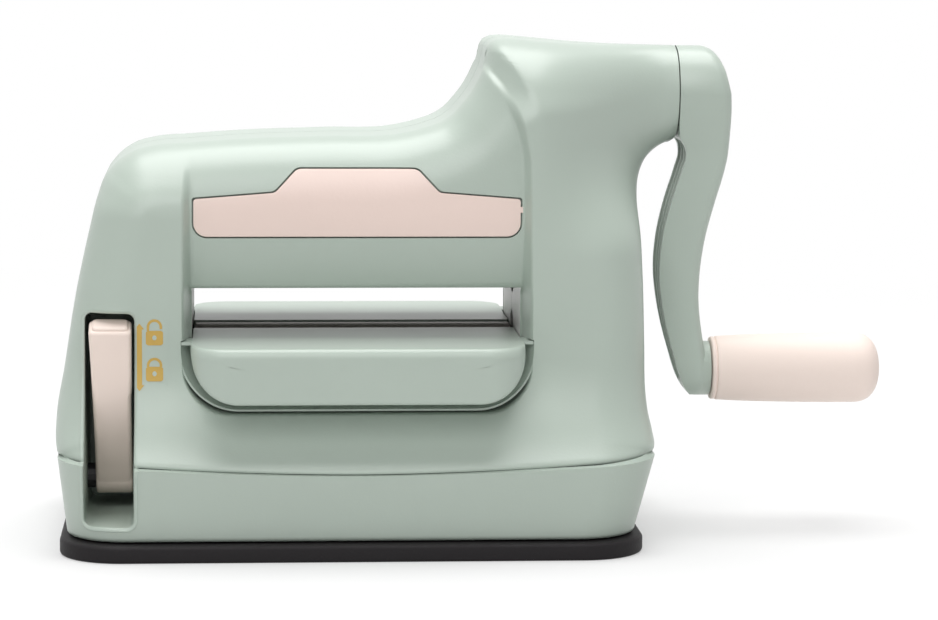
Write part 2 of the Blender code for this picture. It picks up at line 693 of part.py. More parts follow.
def gear_outline(teeth, phase):
    # Involute teeth; the phase is the angle of one tooth's middle.
    pitch = GEAR_MODULE * teeth / 2
    base = pitch * math.cos(PRESSURE_ANGLE)
    half = (math.pi * GEAR_MODULE / 2 - GEAR_BACKLASH) / (2 * pitch)
    involute = math.tan(PRESSURE_ANGLE) - PRESSURE_ANGLE
    tip, root = pitch + GEAR_ADDENDUM, pitch - GEAR_DEDENDUM
    flank = []
    for share in (0.3, 1.0):
        radius = max(base, root) + share * (tip - max(base, root))
        slope = math.acos(min(1, base / radius))
        flank.append((radius, half + involute - (math.tan(slope) - slope)))
    flank.insert(0, (root, flank[0][1]))
    outline = []
    for tooth in range(teeth):
        middle = phase + 2 * math.pi * tooth / teeth
        for radius, angle in flank:
            outline.append((radius * math.cos(middle - angle), radius * math.sin(middle - angle)))
        for radius, angle in flank[::-1]:
            outline.append((radius * math.cos(middle + angle), radius * math.sin(middle + angle)))
    return outline


def gear(name, teeth, phase, axis_z, start_x, bore, material):
    outline = [(y, z + axis_z) for y, z in gear_outline(teeth, phase)]
    made = mesh_object(name, prism(outline, 'X', start_x, start_x + GEAR_WIDTH), material, (0, 0, axis_z))
    cut(made, name + "_bore", rod('X', (0, axis_z), bore, start_x - OVERRUN, start_x + GEAR_WIDTH + OVERRUN))
    return made


def screw_shape(axis, centre, seat, reach, out, head_radius=SCREW_HEAD_RADIUS, radius=SCREW_RADIUS,
                head_height=SCREW_HEAD_HEIGHT):
    # Head on the out side of its seat, shank reaching the other way.
    profile = [(seat + out * head_height, head_radius), (seat, head_radius), (seat, radius),
               (seat - out * reach, radius)]
    return turned(axis, centre, profile, SCREW_SIDES)


def housing_screw_places():
    # Beside the left frame, over the hood, just under the lower roller, and right of the drive gear.
    upper, lower = (share * BELLY_HALF_WIDTH for share in INNER_SCREW_ACROSS_SHARES)
    left_up, right_up = (share * HOOD_TOP_HEIGHT for share in UPPER_SCREW_UP_SHARES)
    left = -FRAME_OUTER_X - 2 * BOSS_RADIUS - HOUSING_WALL
    right = DRIVE_GEAR_X + GEAR_WIDTH + GEAR_RELIEF + BOSS_RADIUS
    under_roller = LOWER_AXIS_Z - ROLLER_RADIUS - BOSS_RADIUS - HOUSING_WALL / 2 - 2 * RUNNING_CLEARANCE
    return (("upper_left", left, left_up), ("upper_right", upper, right_up),
            ("lower_middle", lower, under_roller),
            ("lower_right", right, LOWER_RIGHT_SCREW_UP_SHARE * LOWER_ROLLER_TOP))


def base_screw_places():
    far = BELLY_HALF_WIDTH - BELLY_CORNER + POST_RADIUS / 2
    near = SLOT_RIGHT_X + WELL_WALL + 3 * POST_RADIUS
    return (("front_left", near, -BASE_POST_Y), ("front_right", far, -BASE_POST_Y),
            ("rear_left", -far, BASE_POST_Y), ("rear_right", far, BASE_POST_Y))


def well_walls(low_z, high_z):
    # The space of the lever's well with its walls, in front of the seam plane.
    side = SLOT_HALF_WIDTH + WELL_WALL
    return box((SLOT_X - side, -BELLY_DEPTH - FOOT_CORNER, low_z),
               (SLOT_X + side, WELL_BACK_Y + WELL_WALL, high_z))


def slot_prism(low_z):
    # The slot as seen from the front, with round corners.
    outline = []
    for sx, sz, start in ((1, 1, 0), (-1, 1, 1), (-1, 0, 2), (1, 0, 3)):
        for i in range(4):
            turn = math.pi / 2 * (start + i / 3)
            x = SLOT_X + sx * (SLOT_HALF_WIDTH - SLOT_CORNER) + SLOT_CORNER * math.cos(turn)
            z = (SLOT_TOP - SLOT_CORNER if sz else low_z + SLOT_CORNER) + SLOT_CORNER * math.sin(turn)
            outline.append((x, z))
    return prism(outline, 'Y', -BELLY_DEPTH - FOOT_CORNER, WELL_BACK_Y)


def housing_half(name, front):
    # Front half when front is true, else the rear half, which has no lever slot.
    place = (lambda shape: shape) if front else mirrored
    shell = mesh_object(name, place(half_body(-GAP / 2)), "green_plastic")
    ledge = TRAY_TOP + GAP
    cut(shell, name + "_recess", place(recess(-BELLY_DEPTH, ledge)))

    cavity = tool(name + "_cavity", place(half_body(OVERRUN, HOUSING_WALL, OVERRUN, INNER_STEPS)))
    cut(cavity, name + "_hood_wall", place(recess(-BELLY_DEPTH, ledge, HOUSING_WALL)))
    pocket_half = TRAY_HALF_WIDTH + TRAY_DRAFT + GAP
    pocket_corner = TRAY_CORNER + TRAY_DRAFT + GAP
    pocket_bottom = TRAY_BOTTOM - TRAY_DRAFT - GAP
    pocket_wall = u_outline(pocket_half + HOUSING_WALL, pocket_bottom - HOUSING_WALL, ledge + HOUSING_WALL,
                            pocket_corner + HOUSING_WALL)
    cut(cavity, name + "_pocket_wall",
        place(prism(pocket_wall, 'Y', -BELLY_DEPTH, -POCKET_BACK_Y + HOUSING_WALL)))
    cut(cavity, name + "_bulkhead",
        place(box((BULKHEAD_X, -BELLY_DEPTH, BULKHEAD_Z), (STUB_END_X + OVERRUN, 2 * OVERRUN, TOWER_TOP + OVERRUN))))
    if front:
        cut(cavity, name + "_well_wall", well_walls(SLOT_BOTTOM, SLOT_TOP + WELL_WALL))
    combine(shell, cavity, 'DIFFERENCE')

    throat_low = TRAY_TOP - TRAY_THICKNESS - GAP
    cut(shell, name + "_throat",
        place(box((-THROAT_HALF_WIDTH, -BELLY_DEPTH, throat_low), (THROAT_HALF_WIDTH, OVERRUN, HOOD_EDGE_HEIGHT))))
    pocket = u_outline(pocket_half, pocket_bottom, ledge, pocket_corner)
    cut(shell, name + "_pocket", place(prism(pocket, 'Y', -BELLY_DEPTH, -POCKET_BACK_Y)))
    cut(shell, name + "_ledge",
        place(box((-pocket_half, -BELLY_DEPTH, throat_low), (pocket_half, -HOOD_EDGE_DEPTH, ledge))))
    for side in (-1, 1):
        hole = rod('Y', (side * TRAY_BOSS_X, TRAY_BOSS_Z), SCREW_RADIUS + SCREW_CLEARANCE,
                   -POCKET_BACK_Y - OVERRUN, -POCKET_BACK_Y + HOUSING_WALL + OVERRUN)
        cut(shell, f"{name}_tray_hole_{side}", place(hole))
    cut(shell, name + "_inlay_pocket", place(inlay_shape(INLAY_GAP, OVERRUN, INLAY_THICKNESS + GAP)))
    bush = CRANK_SHAFT_RADIUS + RUNNING_CLEARANCE + BUSH_WALL + RUNNING_CLEARANCE
    cut(shell, name + "_crank_bore",
        rod('X', (0, CRANK_AXIS_Z), bush, BULKHEAD_X - OVERRUN, STUB_END_X + OVERRUN, ROUND_SIDES))
    for teeth, z in ((PINION_TEETH, CRANK_AXIS_Z), (DRIVE_TEETH, UPPER_AXIS_Z)):
        tip = GEAR_MODULE * teeth / 2 + GEAR_ADDENDUM + GEAR_RELIEF
        cut(shell, f"{name}_relief_{teeth}",
            rod('X', (0, z), tip, DRIVE_GEAR_X - GEAR_RELIEF, DRIVE_GEAR_X + GEAR_WIDTH + GEAR_RELIEF, ROUND_SIDES))
    if front:
        cut(shell, name + "_slot", slot_prism(SLOT_BOTTOM))

    for label, x, z in housing_screw_places():
        wall = least_depth(x, z, BOSS_RADIUS)
        back = HOUSING_WALL / 3 - wall if front else HOUSING_WALL / 2 - HOUSING_SCREW_SEAT_Y
        add(shell, f"{name}_boss_{label}", place(rod('Y', (x, z), BOSS_RADIUS, back, -GAP / 2)))
        if front:
            cut(shell, f"{name}_bore_{label}",
                rod('Y', (x, z), SCREW_RADIUS + SCREW_CLEARANCE, -HOUSING_SCREW_REACH - OVERRUN, OVERRUN))
        else:
            head = SCREW_HEAD_RADIUS + SCREW_CLEARANCE
            add(shell, f"{name}_sleeve_{label}",
                rod('Y', (x, z), BOSS_RADIUS + HOUSING_WALL / 2, HOUSING_SCREW_SEAT_Y - HOUSING_WALL,
                    wall - HOUSING_WALL / 3))
            cut(shell, f"{name}_sink_{label}", rod('Y', (x, z), head, HOUSING_SCREW_SEAT_Y, BELLY_DEPTH + OVERRUN))
            cut(shell, f"{name}_bore_{label}",
                rod('Y', (x, z), SCREW_RADIUS + SCREW_CLEARANCE, -OVERRUN, HOUSING_SCREW_SEAT_Y + OVERRUN))
    for label, x, y in base_screw_places():
        if (y < 0) == front:
            low = float(seam_height(x))
            add(shell, f"{name}_post_{label}",
                rod('Z', (x, y), POST_RADIUS, low, low + POST_HEIGHT))
            cut(shell, f"{name}_post_bore_{label}",
                rod('Z', (x, y), SCREW_RADIUS + SCREW_CLEARANCE, low - OVERRUN, low + BASE_SCREW_REACH + OVERRUN))
    weld(shell)


def inlay_shape(grow, proud, sunk):
    # The panel on the hood: a low plate with a raised middle, following the hood's surface.
    half = INLAY_HALF_WIDTH + grow
    tab = INLAY_TAB_HALF_WIDTH + grow
    foot = tab + INLAY_TAB_SLOPE
    corner = INLAY_CORNER + grow
    bend = corner * (1 - math.cos(math.pi / 4))
    across = [0, bend, corner]
    middle = np.linspace(-half + corner, -foot, 5)[1:]
    slope = tab + INLAY_TAB_SLOPE / 2
    x = np.concatenate([[-half + a for a in across], middle, [-slope, -tab], np.linspace(-tab, tab, 6)[1:-1],
                        [tab, slope], -middle[::-1], [half - a for a in across[::-1]]])
    shoulder = INLAY_BOTTOM + INLAY_END_HEIGHT + INLAY_SHOULDER_RISE + grow
    top = np.interp(np.abs(x), [0, tab, foot, half],
                    [shoulder + INLAY_TAB_HEIGHT, shoulder + INLAY_TAB_HEIGHT, shoulder,
                     shoulder - INLAY_SHOULDER_RISE])
    inward = np.clip(corner - (half - np.abs(x)), 0, corner)
    bottom = INLAY_BOTTOM - grow + corner - np.sqrt(corner ** 2 - inward ** 2)
    shares = np.linspace(0, 1, 7)[:, None]
    z = bottom + shares * (top - bottom)
    xx = np.repeat(x[None], len(shares), axis=0)
    y = -hood_surface(xx, z)
    front = np.stack([xx, y - proud, z], axis=2)
    back = np.stack([xx, y + sunk, z], axis=2)
    return sheet_solid(front, back)


def make_inlay(name, front):
    shape = inlay_shape(0.0, 0.0, INLAY_THICKNESS)
    mesh_object(name, shape if front else mirrored(shape), "cream_plastic")


def collar_ring(z_share, inset, z=None):
    # A ring of the lower housing; the share runs from its foot to the seam.
    lean = COLLAR_LEAN * (1 - z_share)
    low = FOOT_HEIGHT + GAP
    height = low + z_share * (SEAM_HEIGHT + SEAM_RISE + OVERRUN - low) if z is None else z
    return rounded_rectangle(FOOT_CENTRE_X * (1 - z_share), BELLY_HALF_WIDTH - lean - inset,
                             BELLY_DEPTH - lean / 2 - inset, BELLY_CORNER - inset, height)


def make_lower_housing():
    rows = [collar_ring(0.0, COLLAR_EDGE_ROUNDING), collar_ring(0.03, COLLAR_EDGE_ROUNDING * 0.3),
            collar_ring(0.08, 0.0), collar_ring(0.5, 0.0), collar_ring(1.0, 0.0)]
    shell = mesh_object("lower_housing", loft(rows), "green_plastic")
    top = SEAM_HEIGHT + SEAM_RISE + 2 * OVERRUN
    across = np.linspace(-BELLY_HALF_WIDTH - OVERRUN, BELLY_HALF_WIDTH + OVERRUN, 2 * OUTLINE_STEPS + 1)
    above = [(x, float(seam_height(x)) - GAP) for x in across] + [(across[-1], top), (across[0], top)]
    cut(shell, "lower_housing_seam", prism(above, 'Y', -BELLY_DEPTH - OVERRUN, BELLY_DEPTH + OVERRUN))
    floor = BASE_PLATE_TOP + GAP
    low = [collar_ring(0.0, COLLAR_WALL, z) for z in (FOOT_HEIGHT - OVERRUN, floor)]
    cut(shell, "lower_housing_plate_seat", loft(low))
    high = [collar_ring(0.3, COLLAR_WALL, SLOT_BOTTOM), collar_ring(1.0, COLLAR_WALL, top)]
    cavity = tool("lower_housing_cavity", loft(high))
    cut(cavity, "lower_housing_well_wall", well_walls(floor, top + OVERRUN))
    for label, x, y in base_screw_places():
        cut(cavity, f"lower_housing_post_{label}",
            rod('Z', (x, y), POST_RADIUS, floor, top + OVERRUN))
    combine(shell, cavity, 'DIFFERENCE')
    cut(shell, "lower_housing_floor_opening",
        box((SLOT_RIGHT_X + WELL_WALL + GAP, -FLOOR_OPENING_Y, FOOT_HEIGHT),
            (FLOOR_OPENING_X, FLOOR_OPENING_Y, SLOT_BOTTOM + OVERRUN)))
    cut(shell, "lower_housing_rear_opening",
        box((-FLOOR_OPENING_X, POST_RADIUS, FOOT_HEIGHT), (0, FLOOR_OPENING_Y, SLOT_BOTTOM + OVERRUN)))
    cut(shell, "lower_housing_slot", slot_prism(SLOT_BOTTOM))
    for label, x, y in base_screw_places():
        cut(shell, f"lower_housing_post_top_{label}",
            rod('Z', (x, y), POST_RADIUS + GAP, float(seam_height(x)) - GAP, top + OVERRUN))
        cut(shell, f"lower_housing_bore_{label}",
            rod('Z', (x, y), SCREW_RADIUS + SCREW_CLEARANCE, FOOT_HEIGHT, top + OVERRUN))
    shaft = LEVER_SHAFT_RADIUS + RUNNING_CLEARANCE
    cut(shell, "lower_housing_lever_hole",
        rod('X', (LEVER_PIVOT_Y, LEVER_PIVOT_Z), shaft, SLOT_LEFT_X - WELL_WALL - OVERRUN,
            SLOT_RIGHT_X + WELL_WALL + OVERRUN))


def make_base():
    inset = COLLAR_WALL + BASE_PLATE_INSET
    bottom = [(z, inset) for z in (BASE_PLATE_BOTTOM, BASE_PLATE_TOP)]
    plate = mesh_object("base_plate", loft([collar_ring(0.0, r, z) for z, r in bottom]), "zinc_steel")
    cut(plate, "base_plate_stem_hole",
        rod('Z', (0, 0), STEM_DISC_RADIUS + 2 * GAP, BASE_PLATE_BOTTOM - OVERRUN, BASE_PLATE_TOP + OVERRUN))
    for label, x, y in base_screw_places():
        head = SCREW_HEAD_RADIUS + SCREW_CLEARANCE
        cut(plate, f"base_plate_hole_{label}",
            rod('Z', (x, y), SCREW_RADIUS + SCREW_CLEARANCE, BASE_PLATE_BOTTOM - OVERRUN, BASE_PLATE_TOP + OVERRUN))
        cut(plate, f"base_plate_sink_{label}",
            rod('Z', (x, y), head, BASE_PLATE_BOTTOM - OVERRUN, BASE_PLATE_BOTTOM + SCREW_HEAD_HEIGHT))
    for side, side_name in ((-1, "left"), (1, "right")):
        for end, end_name in ((-1, "front"), (1, "rear")):
            place = (side * (FRAME_OUTER_X + FRAME_FOOT_LENGTH / 2), end * FRAME_SCREW_Y)
            cut(plate, f"base_plate_frame_hole_{end_name}_{side_name}",
                rod('Z', place, SCREW_RADIUS + SCREW_CLEARANCE, BASE_PLATE_BOTTOM - OVERRUN,
                    BASE_PLATE_TOP + OVERRUN))
    rows = []
    for height, inset in ((0.0, FOOT_EDGE_ROUNDING), (FOOT_EDGE_ROUNDING, 0.0),
                          (FOOT_HEIGHT - FOOT_EDGE_ROUNDING, 0.0), (FOOT_HEIGHT, FOOT_EDGE_ROUNDING)):
        rows.append(rounded_rectangle(FOOT_CENTRE_X, FOOT_HALF_WIDTH + FOOT_EDGE_ROUNDING - inset,
                                      FOOT_HALF_DEPTH - inset, FOOT_CORNER - inset, height))
    mesh_object("rubber_foot", loft(rows), "black_rubber")
    for label, x, y in base_screw_places():
        seat = BASE_PLATE_BOTTOM + SCREW_HEAD_HEIGHT
        reach = float(seam_height(x)) - seat + BASE_SCREW_REACH
        mesh_object(f"base_screw_{label}", screw_shape('Z', (x, y), seat - GAP, reach, -1), "zinc_steel")


def tray_plan(inset):
    # Seen from above, the fascia turns back at both sides with a round corner.
    half = TRAY_HALF_WIDTH + TRAY_DRAFT * (TRAY_PLAN_CORNER / (TRAY_REACH - POCKET_BACK_Y)) - inset
    corner = TRAY_PLAN_CORNER - inset
    front = -TRAY_REACH + inset
    outline = []
    for side in (1, -1):
        turns = [math.pi / 2 * i / 6 for i in range(7)][::side]
        outline += [(side * (half - corner + corner * math.cos(t)), front + corner - corner * math.sin(t))
                    for t in turns]
    wide = TRAY_HALF_WIDTH + 2 * TRAY_DRAFT
    outline += [(-wide, front + corner + TRAY_DRAFT), (-wide, 0), (wide, 0), (wide, front + corner + TRAY_DRAFT)]
    return prism(outline, 'Z', TRAY_BOTTOM - TRAY_DROP, TRAY_TOP + TRAY_DROP)


def tray_shape(name, front):
    # A scoop: top plate, round-cornered fascia and drafted sides, open at its back.
    place = (lambda shape: shape) if front else mirrored
    back = -POCKET_BACK_Y - GAP

    def outline(draft, inset, y):
        points = u_outline(TRAY_HALF_WIDTH + draft - inset, TRAY_BOTTOM - draft + inset,
                           TRAY_TOP - inset, TRAY_CORNER + draft - inset)
        return [(x, y, z) for x, z in points]

    rounding = TRAY_EDGE_ROUNDING
    part_way = TRAY_ROUNDING_SHARE * rounding
    rows = [outline(0, rounding, -TRAY_REACH), outline(0, part_way, -TRAY_REACH + part_way),
            outline(0, 0, -TRAY_REACH + rounding), outline(TRAY_DRAFT, 0, back)]
    tray = mesh_object(name, place(loft(rows)), "green_plastic")
    wall = TRAY_THICKNESS
    combine(tray, tool(name + "_plan", place(tray_plan(0))), 'INTERSECT')
    inner = [[(x, y, z) for x, z in u_outline(TRAY_HALF_WIDTH + draft - wall, TRAY_BOTTOM - draft + wall,
                                              TRAY_TOP - wall, TRAY_CORNER + draft - wall)]
             for draft, y in ((0, -TRAY_REACH + wall), (TRAY_DRAFT, back + OVERRUN))]
    hollow = tool(name + "_hollow", place(loft(inner)))
    combine(hollow, tool(name + "_hollow_plan", place(tray_plan(wall))), 'INTERSECT')
    combine(tray, hollow, 'DIFFERENCE')
    half = TRAY_HALF_WIDTH + TRAY_DRAFT
    thickness = TRAY_THICKNESS
    add(tray, name + "_shelf",
        place(box((-half, back - thickness, TRAY_TOP - thickness), (half, -HOOD_EDGE_DEPTH - GAP, TRAY_TOP))))
    tail = THROAT_HALF_WIDTH - GAP
    add(tray, name + "_tail",
        place(box((-tail, back - thickness, TRAY_TOP - thickness), (tail, -TRAY_TAIL_Y, TRAY_TOP))))
    for side in (-1, 1):
        centre = (side * TRAY_BOSS_X, TRAY_BOSS_Z)
        add(tray, f"{name}_boss_{side}",
            place(rod('Y', centre, TRAY_BOSS_RADIUS, -TRAY_REACH + wall / 2, back)))
        reach = HOUSING_SCREW_REACH
        cut(tray, f"{name}_bore_{side}",
            place(rod('Y', centre, SCREW_RADIUS + SCREW_CLEARANCE, back - reach, back + OVERRUN)))
        seat = -POCKET_BACK_Y + HOUSING_WALL + GAP
        shape = screw_shape('Y', centre, seat, reach, 1)
        label = "left" if side < 0 else "right"
        mesh_object(f"{name}_screw_{label}", place(shape), "zinc_steel")


def make_guides():
    # Four side plates of the throat, meeting on the seam plane with a notch above and below.
    inner = THROAT_HALF_WIDTH + GAP
    far = HOOD_EDGE_DEPTH - HOUSING_WALL - GAP
    low = TRAY_TOP - TRAY_THICKNESS
    for side, side_name in ((-1, "left"), (1, "right")):
        for front, face_name in ((-1, "front"), (1, "rear")):
            near = GAP / 2
            notch = [(front * (near + GUIDE_NOTCH), low), (front * near, low + GUIDE_NOTCH),
                     (front * near, GUIDE_TOP - GUIDE_NOTCH), (front * (near + GUIDE_NOTCH), GUIDE_TOP),
                     (front * far, GUIDE_TOP), (front * far, low)]
            start = side * inner
            mesh_object(f"{face_name}_{side_name}_guide",
                        prism(notch, 'X', start, start + side * GUIDE_THICKNESS), "grey_guide")


def frame_outline(top_z):
    # Side frame in the YZ plane: wide below, with a round head.
    half, head = FRAME_HALF_DEPTH, FRAME_HEAD_RADIUS
    shoulder = HOOD_EDGE_HEIGHT
    points = [(-half, FRAME_BOTTOM), (half, FRAME_BOTTOM), (half, shoulder)]
    points += [(head * math.cos(t), top_z - head + head * math.sin(t))
               for t in [math.pi * i / 8 for i in range(9)]]
    points.append((-half, shoulder))
    return points


def make_frames():
    bush = ROLLER_SHAFT_RADIUS + RUNNING_CLEARANCE + BUSH_WALL + RUNNING_CLEARANCE
    for side, name in ((-1, "left"), (1, "right")):
        axes = [LOWER_AXIS_Z, UPPER_AXIS_Z] + ([CRANK_AXIS_Z] if side > 0 else [])
        top = (axes[-1] + FRAME_HEAD_RADIUS) if side < 0 else CRANK_AXIS_Z + STUB_RADIUS - HOUSING_WALL
        inner, outer = side * FRAME_X, side * FRAME_OUTER_X
        frame = mesh_object(f"{name}_frame", prism(frame_outline(top), 'X', inner, outer), "zinc_steel")
        foot = [outer - side * FRAME_THICKNESS / 2, outer + side * FRAME_FOOT_LENGTH]
        add(frame, f"{name}_frame_foot",
            box((min(foot), -FRAME_HALF_DEPTH, FRAME_BOTTOM), (max(foot), FRAME_HALF_DEPTH,
                                                               FRAME_BOTTOM + FRAME_FOOT_THICKNESS)))
        ends = (min(inner, outer) - OVERRUN, max(inner, outer) + OVERRUN)
        for index, z in enumerate(axes):
            cut(frame, f"{name}_frame_bush_hole_{index}", rod('X', (0, z), bush, *ends))
        for y, face_name in ((-TIE_ROD_Y, "front"), (TIE_ROD_Y, "rear")):
            cut(frame, f"{name}_frame_tie_hole_{face_name}",
                rod('X', (y, TIE_ROD_Z), TIE_ROD_SPIGOT + RUNNING_CLEARANCE, *ends))
        if side < 0:
            cut(frame, "left_frame_lever_hole",
                rod('X', (LEVER_PIVOT_Y, LEVER_PIVOT_Z), LEVER_SHAFT_RADIUS + RUNNING_CLEARANCE, *ends))
        for y, face_name in ((-FRAME_SCREW_Y, "front"), (FRAME_SCREW_Y, "rear")):
            x = side * (FRAME_OUTER_X + FRAME_FOOT_LENGTH / 2)
            cut(frame, f"{name}_frame_screw_hole_{face_name}",
                rod('Z', (x, y), SCREW_RADIUS + SCREW_CLEARANCE, FRAME_BOTTOM - OVERRUN,
                    FRAME_BOTTOM + FRAME_FOOT_THICKNESS + OVERRUN))
            seat = FRAME_BOTTOM + FRAME_FOOT_THICKNESS + GAP
            mesh_object(f"frame_screw_{face_name}_{name}",
                        screw_shape('Z', (x, y), seat, FRAME_SCREW_REACH, 1), "zinc_steel")
    for y, name in ((-TIE_ROD_Y, "front_tie_rod"), (TIE_ROD_Y, "rear_tie_rod")):
        shoulder, end = FRAME_X - GAP, FRAME_OUTER_X + CLIP_THICKNESS
        profile = [(-end, TIE_ROD_SPIGOT), (-shoulder, TIE_ROD_SPIGOT), (-shoulder, TIE_ROD_RADIUS),
                   (shoulder, TIE_ROD_RADIUS), (shoulder, TIE_ROD_SPIGOT), (end, TIE_ROD_SPIGOT)]
        mesh_object(name, turned('X', (y, TIE_ROD_Z), profile, SMALL_SIDES), "zinc_steel")


def make_bush(name, axis_z, side, frame_x, thickness, shaft_radius):
    # A flanged bush; its flange lies on the frame's inner face.
    inner = shaft_radius + RUNNING_CLEARANCE
    outer = inner + BUSH_WALL
    flange = outer + BUSH_FLANGE
    start = side * (frame_x - GAP - BUSH_FLANGE_THICKNESS)
    step = side * (frame_x - GAP)
    end = side * (frame_x + thickness + GAP)
    profile = [(start, inner), (start, flange), (step, flange), (step, outer), (end, outer), (end, inner)]
    mesh_object(name, turned('X', (0, axis_z), profile, SMALL_SIDES + 4, closed=True), "bronze")


def make_rollers():
    length = THROAT_HALF_WIDTH - ROLLER_END_CLEARANCE
    lower_end = SYNC_GEAR_X + GEAR_WIDTH + CLIP_THICKNESS + GAP
    upper_end = DRIVE_GEAR_X + GEAR_WIDTH + SHAFT_END_PROUD
    for name, z, end in (("lower", LOWER_AXIS_Z, lower_end), ("upper", UPPER_AXIS_Z, upper_end)):
        bore = ROLLER_SHAFT_RADIUS + RUNNING_CLEARANCE
        mesh_object(f"{name}_roller", ring('X', (0, z), bore, ROLLER_RADIUS, -length, length, 40),
                    "dark_steel", (0, 0, z))
        start = -FRAME_OUTER_X - SHAFT_END_PROUD
        mesh_object(f"{name}_roller_shaft", rod('X', (0, z), ROLLER_SHAFT_RADIUS, start, end, ROUND_SIDES - 8),
                    "dark_steel", (0, 0, z))
        for side, side_name in ((-1, "left"), (1, "right")):
            make_bush(f"{name}_{side_name}_bush", z, side, FRAME_X, FRAME_THICKNESS, ROLLER_SHAFT_RADIUS)
    bore = ROLLER_SHAFT_RADIUS + RUNNING_CLEARANCE
    gear("upper_sync_gear", SYNC_TEETH, -math.pi / 2, UPPER_AXIS_Z, SYNC_GEAR_X, bore, "nylon")
    gear("lower_sync_gear", SYNC_TEETH, math.pi / 2 + math.pi / SYNC_TEETH, LOWER_AXIS_Z, SYNC_GEAR_X, bore,
         "nylon")
    gear("drive_gear", DRIVE_TEETH, math.pi / 2, UPPER_AXIS_Z, DRIVE_GEAR_X, bore, "nylon")
    gear("crank_pinion", PINION_TEETH, -math.pi / 2 + math.pi / PINION_TEETH, CRANK_AXIS_Z, DRIVE_GEAR_X,
         CRANK_SHAFT_RADIUS + RUNNING_CLEARANCE, "zinc_steel")


def arm_rings(first, last):
    # Height, inner face, outer face and half width of the crank arm between two shares of the throw.
    rows = []
    for down, inner, outer, width in ARM_SHARES:
        if first <= down <= last:
            rows.append((CRANK_AXIS_Z - down * CRANK_THROW, HUB_FACE_X + inner * HUB_LENGTH,
                         HUB_FACE_X + outer * HUB_LENGTH, width * STUB_RADIUS))
    return rows


def arm_shape():
    rings = []
    for z, low, high, half in arm_rings(-1, 2):
        corner = min(ARM_ROUNDING, 0.6 * half)
        points = [(low, -half, z), (low, half, z)]
        points += [(high - corner + corner * math.sin(t), half - corner + corner * math.cos(t), z)
                   for t in [math.pi / 2 * i / 3 for i in range(4)]]
        points += [(high - corner + corner * math.cos(t), -half + corner - corner * math.sin(t), z)
                   for t in [math.pi / 2 * i / 3 for i in range(4)]]
        rings.append(points)
    return loft(rings)


def channel_shape(first, last, inset, front, floor):
    # The space along the arm between two heights over its inner face.
    rings = []
    for z, low, _, half in arm_rings(first, last):
        side = inset if inset < half / 2 else half - ARM_WALL
        rings.append([(low + front, -side, z), (low + front, side, z), (low + floor, side, z),
                      (low + floor, -side, z)])
    return loft(rings)


